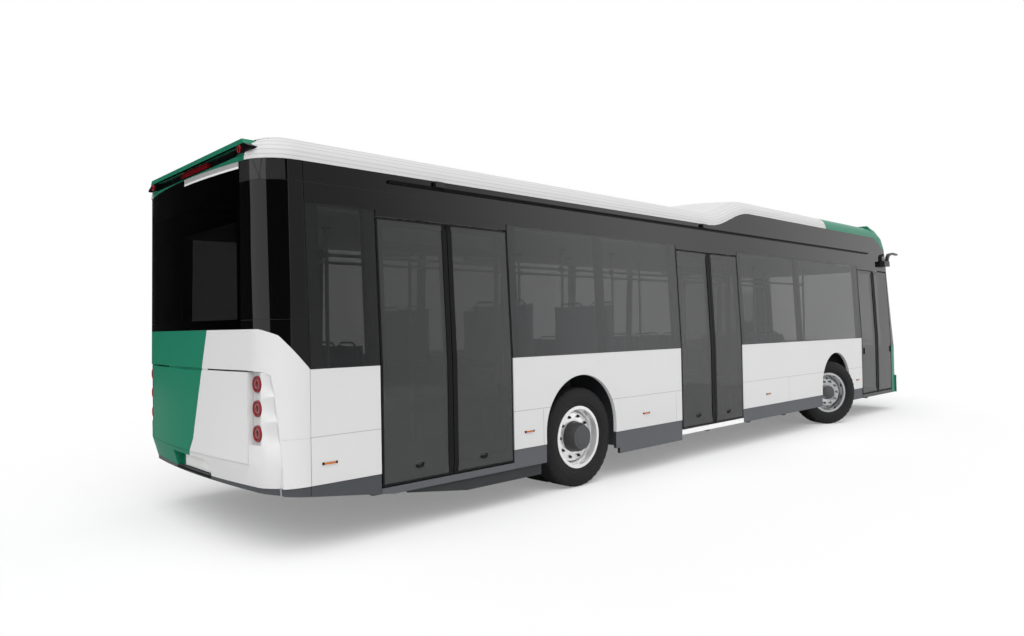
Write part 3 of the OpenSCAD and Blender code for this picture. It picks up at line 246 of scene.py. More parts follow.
def coated(name, code, rough, film=0.2, film_top=1.0, peel=320.0, bump=0.02, metal=0.0, coat=0.0, ior=1.5,
           gloss=0.5):
    # Gives the material, its tree, its Principled node and the road film in front of that.
    material, tree, skin = new_material(name)
    film_node = node(
        tree, "ShaderNodeGroup",
        {"Colour": tint(code), "Roughness": rough, "Film": film, "Film Top": film_top, "Peel": peel},
        node_tree=road_film)
    wire(tree, skin, {
        "Base Color": film_node.outputs["Colour"], "Roughness": film_node.outputs["Roughness"],
        "Metallic": metal, "IOR": ior, "Specular IOR Level": gloss, "Coat Weight": coat,
        "Coat Roughness": 0.06})
    bumped(tree, skin, film_node.outputs["Height"], bump, 0.01)
    return material, tree, skin, film_node


rounding = bpy.data.node_groups.new("rounding", "GeometryNodeTree")
rounding.interface.new_socket("Geometry", in_out="INPUT", socket_type="NodeSocketGeometry")
limit = rounding.interface.new_socket("Sharp From", in_out="INPUT", socket_type="NodeSocketFloat")
limit.default_value = 0.6
rounding.interface.new_socket("Geometry", in_out="OUTPUT", socket_type="NodeSocketGeometry")
rounding_in = node(rounding, "NodeGroupInput").outputs
bare = node(
    rounding, "GeometryNodeRemoveAttribute", {"Geometry": rounding_in["Geometry"], "Name": "custom_normal"})
joined = node(rounding, "GeometryNodeMergeByDistance", {"Geometry": bare.outputs[0], "Distance": 0.00002})
softened = node(rounding, "GeometryNodeSetShadeSmooth", {"Geometry": joined.outputs[0]}, domain="FACE")
fold = node(rounding, "GeometryNodeInputMeshEdgeAngle").outputs["Unsigned Angle"]
steep = node(
    rounding, "FunctionNodeCompare", {"A": fold, "B": rounding_in["Sharp From"]},
    data_type="FLOAT", operation="GREATER_THAN")
creased = node(
    rounding, "GeometryNodeSetShadeSmooth",
    {"Geometry": softened.outputs[0], "Selection": steep.outputs["Result"], "Shade Smooth": False},
    domain="EDGE")
node(rounding, "NodeGroupOutput", {"Geometry": creased.outputs[0]})


def soften(piece):
    piece.modifiers.new("rounding", "NODES").node_group = rounding


def dress(material, *names, smooth=True, edge=0.0):
    for name in names:
        part[name].material_slots[0].material = material
        if smooth:
            soften(part[name])
        if edge:
            rim = part[name].modifiers.new("edge", "BEVEL")
            rim.width = edge
            rim.segments = 2
            rim.limit_method = "ANGLE"
            rim.angle_limit = math.radians(50)
            rim.harden_normals = True


chassis_paint = coated("chassis_paint", "2B2C2E", 0.55, film=0.9, film_top=0.9, peel=90, bump=0.12)[0]
dress(chassis_paint, "underframe", "front_axle", "rear_axle", "knuckle_left", "knuckle_right", edge=0.004)

# Floor, wheel boxes, ceiling and roof packs. The floor is sheet vinyl with mineral flecks on
# panels, glued down; the ceiling is pale laminate; the packs are plain sheet-metal boxes.


def cells(tree, scale, **settings):
    inputs = {"Vector": spot(tree), "Scale": scale}
    return node(tree, "ShaderNodeTexVoronoi", inputs, **settings).outputs["Distance"]


fleck_vinyl, fleck_tree, fleck_skin, fleck_film = coated("fleck_vinyl", "4A4C50", 0.6, film=0.0, bump=0.05)
fleck_share = calc(fleck_tree, "LESS_THAN", cells(fleck_tree, 240), 0.28)
wire(fleck_tree, fleck_skin, {
    "Base Color": blend(fleck_tree, fleck_share, fleck_film.outputs["Colour"], tint("7C8086"))})
dress(fleck_vinyl, "floor_pan", smooth=False)
ceiling_laminate = coated("ceiling_laminate", "C9CBCC", 0.5, film=0.0, peel=60, bump=0.02)[0]
dress(ceiling_laminate, "ceiling", smooth=False)
pack_sheet = coated("pack_sheet", "6A6D70", 0.45, film=0.3, metal=0.6, peel=140)[0]
dress(pack_sheet, "power_packs", smooth=False, edge=0.006)

# Passenger, bench and driver's seats. Foam pads in a woven wool-mix cover, crowned and piped,
# screwed to moulded shells on the floor and on the wheel boxes.
weave, weave_in, weave_out = group(
    "weave",
    (("Thread", "Float", 900.0), ("Warp", "Color", (0.1, 0.2, 0.3, 1)),
     ("Weft", "Color", (0.05, 0.1, 0.15, 1))),
    (("Colour", "Color"), ("Height", "Float")))
weave_place = spot(weave)
threads = [
    node(weave, "ShaderNodeTexWave", {"Distortion": 0.6, "Vector": weave_place, "Scale": weave_in["Thread"]},
         wave_type="BANDS", bands_direction=axis).outputs["Fac"] for axis in ("X", "Y", "Z")]
weave_height = calc(weave, "MAXIMUM", calc(weave, "MAXIMUM", threads[0], threads[1]), threads[2])
weave_spot = calc(weave, "LESS_THAN", cells(weave, 26, feature="F1", distance="CHEBYCHEV"), 0.33)
weave_spot = calc(weave, "MULTIPLY", weave_spot, 0.5)
weave_share = calc(weave, "MULTIPLY_ADD", weave_height, 0.35, weave_spot, clamp=True)
wire(weave, weave_out, {
    "Colour": blend(weave, weave_share, weave_in["Weft"], weave_in["Warp"]), "Height": weave_height})
seat_cloth, cloth_tree, cloth_skin = new_material("seat_cloth")
cloth_weave = node(
    cloth_tree, "ShaderNodeGroup", {"Warp": tint("7F939B"), "Weft": tint("55666E")}, node_tree=weave).outputs
wire(cloth_tree, cloth_skin, {"Base Color": cloth_weave["Colour"], "Roughness": 0.85, "Sheen Weight": 0.35})
bumped(cloth_tree, cloth_skin, cloth_weave["Height"], 0.35, 0.002)
shell_plastic = coated("shell_plastic", "6F7377", 0.45, film=0.0, peel=500, bump=0.08)[0]


def pad(low, high, crown, thin):
    # Crowned closed pad in the box low..high; thin is the axis across which it is soft.
    low, high = Vector(low), Vector(high)
    middle, half = (low + high) / 2, (high - low) / 2
    a, b = [i for i in range(3) if i != thin]
    count = 14
    waist = 0.035
    points = []
    faces = []
    for face_side in (-1, 1):
        base = len(points)
        for i in range(count + 1):
            for j in range(count + 1):
                u, v = 2 * i / count - 1, 2 * j / count - 1
                ease_u, ease_v = math.sin(u * math.pi / 2), math.sin(v * math.pi / 2)
                pull = 1 - waist * (1 - ease_u * ease_u) * abs(ease_v) ** 3
                pull -= waist * (1 - ease_v * ease_v) * abs(ease_u) ** 3
                swell = (1 - abs(ease_u) ** 5) ** 0.5 * (1 - abs(ease_v) ** 5) ** 0.5
                channel = 0.0 if face_side < 0 else 0.006 * math.exp(-((v - 0.35) / 0.05) ** 2) * swell
                depth = half[thin] * (1 - crown + crown * swell)
                point = Vector((0, 0, 0))
                point[a] = middle[a] + half[a] * ease_u * pull
                point[b] = middle[b] + half[b] * ease_v * pull
                point[thin] = middle[thin] + face_side * (depth - channel)
                points.append(point)
        for i in range(count):
            for j in range(count):
                k = base + i * (count + 1) + j
                ring = (k, k + count + 1, k + count + 2, k + 1)
                faces.append(ring if (face_side > 0) == (thin != 1) else ring[::-1])
    size = (count + 1) ** 2
    border = [i * (count + 1) for i in range(count + 1)]
    border += [count * (count + 1) + j for j in range(1, count + 1)]
    border += [i * (count + 1) + count for i in range(count - 1, -1, -1)]
    border += [j for j in range(count - 1, 0, -1)]
    for i, k in enumerate(border):
        m = border[(i + 1) % len(border)]
        wall = (k, m, m + size, k + size)
        faces.append(wall if thin != 1 else wall[::-1])
    return points, faces


def pads(name, boxes, thin, crown, replaced):
    verts = []
    faces = []
    for low, high in boxes:
        points, rings = pad(low, high, crown, thin)
        faces += [tuple(len(verts) + k for k in ring) for ring in rings]
        verts += points
    piece = mesh_piece(name, (verts, faces), seat_cloth, "body")
    piece.data.polygons.foreach_set("use_smooth", [True] * len(faces))
    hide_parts(replaced)


rear_axle_x, front_axle_x = -2.65, 3.25
low_deck, wheel_deck = 0.76, 1.133
# Double seats: back's rear face from the axle, axle, side (1 left), facing (1 forwards), base height
double_seats = [(ahead, rear_axle_x, 1, 1, low_deck) for ahead in (-2.2, -1.45, 0.75, 1.5)]
double_seats += [(ahead, front_axle_x, 1, 1, low_deck) for ahead in (-2.35, -1.6)]
double_seats.append((0.75, rear_axle_x, -1, 1, low_deck))
double_seats += [(ahead, front_axle_x, -1, 1, low_deck) for ahead in (-2.35, -1.6)]
double_seats += [
    (-0.62 * facing, rear_axle_x, hand, facing, wheel_deck) for facing in (1, -1) for hand in (1, -1)]
seat_boxes = []
back_boxes = []
shell_bars = []
for ahead, axle, hand, facing, deck in double_seats:
    x = axle + ahead
    for y0, y1 in ((0.385, 0.795), (0.805, 1.19)):
        across_y = sorted((hand * y0, hand * y1))
        seat_x = sorted((x + facing * 0.062, x + facing * 0.488))
        back_x = sorted((x + facing * 0.004, x + facing * 0.058))
        seat_boxes.append(((seat_x[0], across_y[0], deck + 0.012), (seat_x[1], across_y[1], deck + 0.09)))
        back_boxes.append(((back_x[0], across_y[0], deck + 0.1), (back_x[1], across_y[1], deck + 0.638)))
        shell_bars.append((x, facing, hand, (y0 + y1) / 2, deck))
for y in (-0.83, -0.415, 0.0, 0.415, 0.83):
    seat_boxes.append(((-5.598, y - 0.2, 0.802), (-5.122, y + 0.2, 0.888)))
    back_boxes.append(((-5.658, y - 0.2, 0.892), (-5.604, y + 0.2, 1.498)))
seat_boxes.append(((4.382, 0.402, 0.78), (4.818, 0.848, 0.898)))
back_boxes.append(((4.302, 0.412, 0.9), (4.378, 0.838, 1.598)))
pads("seat_pads", seat_boxes, 2, 0.45, "seat_cushions")
pads("seat_back_pads", back_boxes, 0, 0.5, "seat_backs")


def add_box(form, low, high):
    verts, faces = form
    k = len(verts)
    verts += [(x, y, z) for x in (low[0], high[0]) for y in (low[1], high[1]) for z in (low[2], high[2])]
    faces += [tuple(k + i for i in ring) for ring in (
        (0, 1, 3, 2), (4, 6, 7, 5), (0, 4, 5, 1), (2, 3, 7, 6), (0, 2, 6, 4), (1, 5, 7, 3))]


def add_tube(form, path, radius, sides=8, closed=False):
    verts, faces = form
    path = [Vector(p) for p in path]
    start = len(verts)
    count = len(path)
    for i, point in enumerate(path):
        ahead = path[(i + 1) % count] if closed or i < count - 1 else point
        behind = path[i - 1] if closed or i > 0 else point
        way = (ahead - behind).normalized()
        flat = way.orthogonal() if abs(way.z) > 0.9 else way.cross(Vector((0, 0, 1)))
        flat.normalize()
        lift = flat.cross(way)
        for s in range(sides):
            turn = 2 * math.pi * s / sides
            verts.append(point + radius * (math.cos(turn) * flat + math.sin(turn) * lift))
    for i in range(count if closed else count - 1):
        here, there = start + i * sides, start + (i + 1) % count * sides
        for s in range(sides):
            t = (s + 1) % sides
            faces.append((here + s, here + t, there + t, there + s))
    if not closed:
        faces.append(tuple(start + s for s in range(sides))[::-1])
        faces.append(tuple(start + (count - 1) * sides + s for s in range(sides)))


shells = ([], [])
for x, facing, hand, y, deck in shell_bars:
    back = x + facing * 0.002
    lean = back - facing * 0.02
    add_tube(shells, [
        (back, hand * (y - 0.15), deck + 0.52), (lean, hand * (y - 0.15), deck + 0.64),
        (lean, hand * (y - 0.11), deck + 0.668), (lean, hand * (y + 0.11), deck + 0.668),
        (lean, hand * (y + 0.15), deck + 0.64), (back, hand * (y + 0.15), deck + 0.52)], 0.011)
    ends = sorted((x + facing * 0.02, x + facing * 0.47))
    add_box(shells, (ends[0], hand * y - 0.19, deck - 0.02), (ends[1], hand * y + 0.19, deck + 0.012))
for ahead, axle, hand, facing, deck in double_seats:
    if deck == low_deck:
        leg_x = sorted((axle + ahead + facing * 0.12, axle + ahead + facing * 0.36))
        leg_y = hand * 0.62
        add_tube(shells, [
            (leg_x[0], leg_y, 0.362), (leg_x[0] + 0.05, leg_y, 0.6), (leg_x[1], leg_y, 0.74)], 0.022)
mesh_piece("seat_shells", shells, shell_plastic, "body")

# Grab poles and rails. Satin stainless tube, screwed to floor and ceiling with cast flanges;
# moulded clamps join the rails to the poles.
pole_satin = coated("pole_satin", "C8CACC", 0.3, film=0.0, peel=700, bump=0.05, metal=0.4)[0]
dress(pole_satin, "grab_poles")
clamps = ([], [])
sides = 16
around = [2 * math.pi * s / sides for s in range(sides)]
flange = [(0.04 * math.cos(a), 0.04 * math.sin(a)) for a in around]
for hand in (-1, 1):
    for x in (-4.86, -3.5, -1.9, -1.0, 0.5, 1.65, 2.5, 4.2):
        for heights in ((0.362, 0.372), (2.418, 2.428)):
            k = len(clamps[0])
            clamps[0].extend((x + dx, hand * 0.35 + dy, z) for z in heights for dx, dy in flange)
            clamps[1].extend(
                (k + s, k + (s + 1) % sides, k + sides + (s + 1) % sides, k + sides + s)
                for s in range(sides))
            clamps[1].append(tuple(range(k, k + sides))[::-1])
            clamps[1].append(tuple(range(k + sides, k + 2 * sides)))
        add_tube(clamps, [(x - 0.02, hand * 0.334, 2.2), (x + 0.02, hand * 0.334, 2.2)], 0.03, 12)
mesh_piece("pole_fittings", clamps, shell_plastic, "body")

# Driver's console and partition. Textured moulded dashboard with a padded steering wheel,
# and a clear toughened screen behind the driver's seat.
dash_grain = coated("dash_grain", "2A2C2F", 0.6, film=0.0, peel=420, bump=0.3)[0]
dress(dash_grain, "driver_console", edge=0.012)


def pane(name, code, see_through, rough=0.02, ior=1.5):
    # Tinted glass: see_through is the share of light that passes each face of the pane.
    made = coated(name, code, rough, film=0.06, film_top=3.0, peel=4, bump=0.004, ior=ior)
    made[2].inputs["Alpha"].default_value = 1 - see_through
    return made


clear_screen = pane("clear_screen", "A8B4B4", 0.75)[0]
dress(clear_screen, "driver_partition", smooth=False)

# Lower side panels, door sills and grey skirts. Bonded aluminium sheet and hinged flaps in
# two-pack gloss white; the skirts are satin grey moulded plastic and take the road spray.
fleet_white, flap_line, seam = "DADADA", 0.812, 0.0035
body_white, white_tree, white_skin, white_film = coated(
    "body_white", fleet_white, 0.32, film=0.14, film_top=1.0, coat=0.15, bump=0.012, gloss=0.3)

gap_line, gap_in, gap_out = group(
    "gap_line", (("Along", "Float", 0.0), ("At", "Float", 0.0), ("Half Width", "Float", 0.004)),
    (("Mask", "Float"),))
gap_off = calc(gap_line, "ABSOLUTE", calc(gap_line, "SUBTRACT", gap_in["Along"], gap_in["At"]))
gap_off = calc(gap_line, "DIVIDE", gap_off, gap_in["Half Width"])
wire(gap_line, gap_out, {"Mask": calc(gap_line, "SUBTRACT", 1.0, gap_off, clamp=True)})


def line_at(tree, along, at, half):
    inputs = {"Along": along, "At": at, "Half Width": half}
    return node(tree, "ShaderNodeGroup", inputs, node_tree=gap_line).outputs["Mask"]


def within(tree, value, low, high):
    above = calc(tree, "GREATER_THAN", value, low)
    return calc(tree, "MULTIPLY", above, calc(tree, "LESS_THAN", value, high))


wx, _, wz = place_of(white_tree)
below = calc(white_tree, "LESS_THAN", wz, flap_line)
flap_gaps = line_at(white_tree, wz, flap_line, seam)
flap_gaps = calc(white_tree, "MULTIPLY", flap_gaps, within(white_tree, wx, -5.7, 4.3))
for at in (-1.072, 1.664, -3.2):
    flap_end = calc(white_tree, "MULTIPLY", line_at(white_tree, wx, at, seam), below)
    flap_gaps = calc(white_tree, "MAXIMUM", flap_gaps, flap_end)
flap_gaps = calc(white_tree, "MULTIPLY", flap_gaps, 0.75)
wire(white_tree, white_skin, {
    "Base Color": blend(white_tree, flap_gaps, white_film.outputs["Colour"], (0.12, 0.12, 0.12, 1))})
dress(body_white, "side_panels", edge=0.003)
skirt_grey, skirt_tree, _, skirt_film = coated(
    "skirt_grey", "5C5E62", 0.55, film=0.25, film_top=0.6, peel=260, bump=0.1, gloss=0.2)
kx, ky, _ = place_of(skirt_tree)
# The skirt is painted darker at the tail and darker still where it tucks in under the body: painted shade,
# standing in for the shade there.
tail_skirt_shade = calc(skirt_tree, "LESS_THAN", kx, -4.93)
tucked_under_shade = calc(skirt_tree, "LESS_THAN", calc(skirt_tree, "ABSOLUTE", ky), 1.265)
tucked_under_shade = calc(skirt_tree, "MULTIPLY", tucked_under_shade, calc(skirt_tree, "GREATER_THAN", kx, -5.3))
skirt_shaded_tone = blend(skirt_tree, tail_skirt_shade, tint("5C5E62"), tint("494C4F"))
wire(skirt_tree, skirt_film, {"Colour": blend(skirt_tree, tucked_under_shade, skirt_shaded_tone, tint("313335"))})
dress(skirt_grey, "skirts", edge=0.003)
sill_finish, sill_tree, sill_skin, sill_film = coated("sill_finish", "FCFCFC", 0.35, film=0.02, film_top=0.6)
sx = place_of(sill_tree)[0]
ramp_sill = within(sill_tree, sx, -1.2, 0.7)
rear_sill = calc(sill_tree, "LESS_THAN", sx, -2.0)
sill_grey = blend(sill_tree, rear_sill, tint("2A2B2D"), tint("55575B"))
wire(sill_tree, sill_skin, {
    "Base Color": blend(sill_tree, ramp_sill, sill_grey, sill_film.outputs["Colour"])})
dress(sill_finish, "door_sills", edge=0.003)

# Amber side markers. Small lamps with a ribbed amber lens, clipped into a dark rubber tray
# on the lower side panels.
marker_amber, marker_tree, marker_skin, marker_film = coated(
    "marker_amber", "C4691F", 0.15, film=0.2, film_top=0.8, coat=0.6)
marker_ribs = node(
    marker_tree, "ShaderNodeTexWave", {"Vector": spot(marker_tree), "Scale": 60},
    wave_type="BANDS", bands_direction="X").outputs["Fac"]
bumped(marker_tree, marker_skin, marker_ribs, 0.5, 0.003)
marker_lens = line_at(marker_tree, place_of(marker_tree)[2], 0.62, 0.0095)
marker_lens = calc(marker_tree, "MULTIPLY_ADD", marker_lens, 5.0, 0.0, clamp=True)
wire(marker_tree, marker_skin, {
    "Base Color": blend(marker_tree, marker_lens, tint(fleet_white), marker_film.outputs["Colour"])})
dress(marker_amber, "side_markers", edge=0.002)
seal_rubber = coated("seal_rubber", "0C0C0D", 0.7, film=0.05, peel=600, bump=0.1, gloss=0.1)[0]
body_half = 1.275
trays = ([], [])
for x in (-5.375, -3.384, -1.632, 1.07, 4.053):
    for hand in (-1, 1):
        y = sorted((hand * body_half, hand * (body_half + 0.005)))
        for x0, x1, z0, z1 in ((-0.06, -0.0455, 0.611, 0.629), (0.0455, 0.06, 0.611, 0.629),
                               (-0.0455, 0.0455, 0.6085, 0.611), (-0.0455, 0.0455, 0.629, 0.6315)):
            add_box(trays, (x + x0, y[0], z0), (x + x1, y[1], z1))
mesh_piece("marker_trays", trays, seal_rubber, "body")

# Side glass, pillars and black upper side. Flush-bonded grey-tinted safety glass over black
# aluminium posts; the upper side above it is gloss black sheet with a rubber rain gutter.
side_tint, tint_tree, _, tint_film = pane("side_tint", "4E4F50", 0.46)
# The glass colour is graded from darker at the rear to lighter forwards: a painted reflection gradient, not a
# change in the tint.
glass_reflection_gradient = ramp(tint_tree, place_of(tint_tree)[0], -5.2, -2.6)
wire(tint_tree, tint_film, {"Colour": blend(tint_tree, glass_reflection_gradient, tint("232425"), tint("4A4B4C"))})
dress(side_tint, "side_glass", smooth=False)
post_black = coated("post_black", "303032", 0.5, film=0.0, peel=300, bump=0.05)[0]
dress(post_black, "side_pillars", smooth=False)
gloss_black, black_tree, black_skin, black_film = coated(
    "gloss_black", "060606", 0.03, film=0.02, film_top=3.0, peel=6, bump=0.004)
bx, by, bz = place_of(black_tree)
pane_end, pane_foot, trim_line = -5.523, 1.634, 2.602
tail_end = calc(black_tree, "LESS_THAN", bx, pane_end)
trim_end = calc(black_tree, "LESS_THAN", bx, -4.2)
trim_gap = calc(black_tree, "MULTIPLY", line_at(black_tree, bz, trim_line, 0.003), trim_end)
pane_gap = line_at(black_tree, bx, pane_end, 0.004)
pane_gap = calc(black_tree, "MULTIPLY", pane_gap, within(black_tree, bz, pane_foot, trim_line))
foot_gap = calc(black_tree, "MULTIPLY", line_at(black_tree, bz, pane_foot, 0.003), tail_end)
shut_gap = calc(black_tree, "MAXIMUM", calc(black_tree, "MAXIMUM", trim_gap, pane_gap), foot_gap)
# On the rear corner cap the black is painted lighter grey: a painted reflection. The slanting cap seams drawn
# in it are dark joints.
cap_zone = calc(black_tree, "LESS_THAN", bx, -5.64)
cap_zone = calc(black_tree, "MULTIPLY", cap_zone, calc(black_tree, "GREATER_THAN", bz, 2.604))
cap_painted_reflection = blend(black_tree, cap_zone, black_film.outputs["Colour"], tint("2C2C2D"))
cap_side = calc(black_tree, "ABSOLUTE", by)
for slant, at in ((-0.092, 0.8484), (0.198, 1.667), (0.417, 2.184)):
    cap_seam = line_at(black_tree, calc(black_tree, "MULTIPLY_ADD", bz, slant, cap_side), at, 0.005)
    shut_gap = calc(black_tree, "MAXIMUM", shut_gap, calc(black_tree, "MULTIPLY", cap_seam, cap_zone))
wire(black_tree, black_skin, {
    "Base Color": blend(black_tree, shut_gap, cap_painted_reflection, (0.002, 0.002, 0.002, 1)),
    "Roughness": calc(black_tree, "MULTIPLY_ADD", shut_gap, 0.6, black_film.outputs["Roughness"])})
dress(gloss_black, "cant_rails", "corner_pillars")
gutters = ([], [])
for hand in (-1, 1):
    y = sorted((hand * 1.2258, hand * 1.2275))
    add_box(gutters, (-4.81, y[0], 2.678), (4.75, y[1], 2.6995))
mesh_piece("gutter_rubber", gutters, seal_rubber, "body")

# Roof cover and front cap. Glass-fibre fairings bolted down over the packs, white behind and
# green at the front, moulded with shallow lengthwise flutes along the shoulders.
# The roof's white is given darker than the fleet white: painted shade on the upward-facing roof, which the
# overhead lamp lights more than the sides.
roof_white, roof_tree, roof_skin, roof_film = coated(
    "roof_white", "D2D2D2", 0.35, film=0.0, bump=0.012, gloss=0.12)
rx, _, rz = place_of(roof_tree)
roof_up = calc(roof_tree, "SUBTRACT", rz, ramp(roof_tree, rx, -0.18, 0.81, 2.75, 2.98, "SMOOTHSTEP"))
roof_lines = line_at(roof_tree, roof_up, 0.028, 0.005)
for at, half in ((0.062, 0.006), (0.098, 0.005), (0.128, 0.006), (0.153, 0.004), (0.17, 0.004)):
    roof_lines = calc(roof_tree, "MAXIMUM", roof_lines, line_at(roof_tree, roof_up, at, half))
# The flute lines are painted darker grey: painted shade in the flutes, alongside their bump.
roof_shade = calc(roof_tree, "MULTIPLY", roof_lines, 0.4)
wire(roof_tree, roof_skin, {
    "Base Color": blend(roof_tree, roof_shade, roof_film.outputs["Colour"], tint("8E8E90"))})
bumped(roof_tree, roof_skin, roof_lines, 0.3, 0.004, invert=True)
dress(roof_white, "roof_cover")
dome_inset = ((2.7505, 0.0), (2.775, 0.003), (2.797, 0.007), (2.82, 0.017), (2.841, 0.028), (2.857, 0.042),
              (2.869, 0.055), (2.883, 0.073), (2.894, 0.089), (2.9045, 0.098))
dome_x, dome_y, dome_radius = -5.546, 0.9047, 0.3
near_y, reach_y, back_x = 0.972, 0.0912, -5.7
dome_verts = []
dome_faces = []
for hand in (-1, 1):
    first = len(dome_verts)
    for z, inset in dome_inset:
        for step in range(7):
            y = near_y + reach_y * step / 6
            x = dome_x - math.sqrt(dome_radius ** 2 - (y - dome_y) ** 2) + inset
            dome_verts.append((x, hand * y, z))
        dome_verts += [(back_x, hand * (near_y + reach_y), z), (back_x, hand * near_y, z)]
    last = len(dome_verts) - 9
    rims = [
        (k + i, k + (i + 1) % 9, k + 9 + (i + 1) % 9, k + 9 + i)
        for k in range(first, last, 9) for i in range(9)]
    rims += [tuple(range(first, first + 9))[::-1], tuple(range(last, last + 9))]
    dome_faces += [rim if hand > 0 else rim[::-1] for rim in rims]
mesh_piece("roof_corners", (dome_verts, dome_faces), roof_white, "body")
fleet_green = "257C61"
body_green = coated("body_green", fleet_green, 0.32, film=0.08, film_top=1.0, bump=0.012, gloss=0.2)[0]
dress(body_green, "roof_front_cap")

# Rear bumper, service flap and hood. Glass-fibre mouldings in green to the left of a slanting
# paint edge and white to its right; the flap hangs on a hinge tube under the hood.
livery_edge, _, livery_out = group("livery_edge", (), (("Green", "Float"),))
_, ly, lz = place_of(livery_edge)
upper = ramp(livery_edge, lz, 0.74, 1.57, -0.131, -0.402)
lower = ramp(livery_edge, lz, 0.42, 0.74, 0.24, 0.0)
past_edge = calc(livery_edge, "SUBTRACT", ly, calc(livery_edge, "ADD", upper, lower))
wire(livery_edge, livery_out, {"Green": calc(livery_edge, "MULTIPLY_ADD", past_edge, 400.0, 0.5, clamp=True)})
rear_livery, livery_tree, _, livery_film = coated(
    "rear_livery", fleet_white, 0.32, film=0.0, film_top=1.0, bump=0.012, gloss=0.01)
livery_mask = node(livery_tree, "ShaderNodeGroup", node_tree=livery_edge).outputs["Green"]
ex, ey, ez = place_of(livery_tree)
out_y = calc(livery_tree, "ABSOLUTE", ey)
# Inside the fluted recess round the tail lamps the white is painted darker the deeper it lies: painted shade
# in the recess.
from_x = calc(livery_tree, "POWER", calc(livery_tree, "ADD", ex, 5.5366), 2.0)
from_y = calc(livery_tree, "POWER", calc(livery_tree, "SUBTRACT", out_y, 0.975), 2.0)
from_axis = calc(livery_tree, "SQRT", calc(livery_tree, "ADD", from_x, from_y))
recess_painted_shade = calc(livery_tree, "MULTIPLY", calc(livery_tree, "SUBTRACT", 0.29, from_axis), 12.0, clamp=True)
recess_painted_shade = calc(livery_tree, "MULTIPLY", recess_painted_shade, calc(livery_tree, "GREATER_THAN", out_y, 0.9741))
recess_painted_shade = calc(livery_tree, "MULTIPLY", recess_painted_shade, within(livery_tree, ez, 0.645, 1.272))
livery_white_shaded = blend(livery_tree, recess_painted_shade, tint(fleet_white), tint("A0A0A0"))
wire(livery_tree, livery_film, {"Colour": blend(livery_tree, livery_mask, livery_white_shaded, tint(fleet_green))})
dress(rear_livery, "rear_bumper", "rear_flap", "rear_hood", edge=0.003)
seals = ([], [])
for hand in (-1, 1):
    lip = sorted((hand * 0.9775, hand * 0.9825))
    add_box(seals, (-5.8335, lip[0], 0.634), (-5.7952, lip[1], 1.272))
seal_steps = 26
first = len(seals[0])
for step in range(seal_steps + 1):
    y = -0.9775 + 1.955 * step / seal_steps
    tail_x = -5.9 + 0.0667 * y * y
    seals[0].extend((tail_x + depth, y, z) for depth, z in (
        (0.003, 0.6335), (0.003, 0.6385), (0.02, 0.6385), (0.02, 0.6335)))
last = len(seals[0]) - 4
seals[1].extend(
    (k + i, k + 4 + i, k + 4 + (i + 1) % 4, k + (i + 1) % 4) for k in range(first, last, 4) for i in range(4))
seals[1].extend((tuple(range(first, first + 4)), tuple(range(last, last + 4))[::-1]))
mesh_piece("flap_seals", seals, rear_livery, "body")

# Tail lamps and high lamps. Round LED units pushed into the bumper: a clear red rim, a bright
# reflector ring and a domed red lens; the high brake lamp sits in the spoiler's recess.
lens_red, lens_tree, lens_skin, _ = coated(
    "lens_red", "6A0A12", 0.15, film=0.0, film_top=1.4, coat=0.2, peel=60, bump=0.02, gloss=0.25)
bumped(lens_tree, lens_skin, cells(lens_tree, 130), 0.25, 0.004)
dress(lens_red, "tail_lamps")
lens_rim = coated("lens_rim", "8A2A31", 0.2, film=0.0, film_top=1.4, gloss=0.2)[0]
lens_ring = coated("lens_ring", "A86A6D", 0.2, film=0.0, film_top=1.4, metal=0.4)[0]


def lathe(name, bands, turns, places, bodies, thin=None):
    # Turns each band's (radius, height) profile about local z; one piece for each place.
    verts = []
    faces = []
    indices = []
    materials = []
    for profile, material in bands:
        if material not in materials:
            materials.append(material)
        start = len(verts)
        for i, (radius, height) in enumerate(profile):
            for s in range(turns):
                r = radius - (thin(i, s) if thin else 0.0)
                turn = 2 * math.pi * s / turns
                verts.append((r * math.cos(turn), r * math.sin(turn), height))
        for i in range(len(profile) - 1):
            for s in range(turns):
                a, b = start + i * turns + s, start + i * turns + (s + 1) % turns
                faces.append((a, b, b + turns, a + turns))
                indices.append(materials.index(material))
    mesh = bpy.data.meshes.new(name)
    mesh.from_pydata(verts, [], faces)
    for material in materials:
        mesh.materials.append(material)
    mesh.polygons.foreach_set("material_index", indices)
    mesh.polygons.foreach_set("use_smooth", [True] * len(faces))
    mesh.update()
    made = []
    for number, (place, body) in enumerate(zip(places, bodies)):
        piece = bpy.data.objects.new("%s_%d" % (name, number), mesh)
        piece.matrix_world = place
        scene.collection.objects.link(piece)
        soften(piece)
        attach(piece, body)
        made.append(piece)
    return made


rearwards = Matrix.Rotation(math.radians(-90), 4, "Y")
lamp_places = [
    Matrix.Translation((-5.799, hand * 1.055, z)) @ rearwards
    for hand in (-1, 1) for z in (0.851, 1.023, 1.191)]
lathe("tail_lamp_lens", (
    (((0.0576, -0.004), (0.0576, 0.006), (0.055, 0.011), (0.05, 0.011), (0.047, 0.006)), lens_rim),
    (((0.047, 0.006), (0.036, 0.0015)), lens_red),
    (((0.036, 0.0015), (0.033, 0.006), (0.028, 0.006), (0.026, 0.002)), lens_ring),
    (((0.026, 0.002), (0.02, 0.006), (0.01, 0.0085), (0.0002, 0.009)), lens_red),
), 40, lamp_places, ["body"] * 6)
high_places = [Matrix.Translation((-5.843, hand * 0.905, 2.8349)) @ rearwards for hand in (-1, 1)]
lathe("high_lamp_lens", (
    (((0.0269, -0.004), (0.0269, 0.003), (0.025, 0.005), (0.022, 0.005), (0.02, 0.002)), lens_rim),
    (((0.02, 0.002), (0.012, 0.005), (0.0002, 0.006)), lens_red),
), 32, high_places, ["body"] * 2)

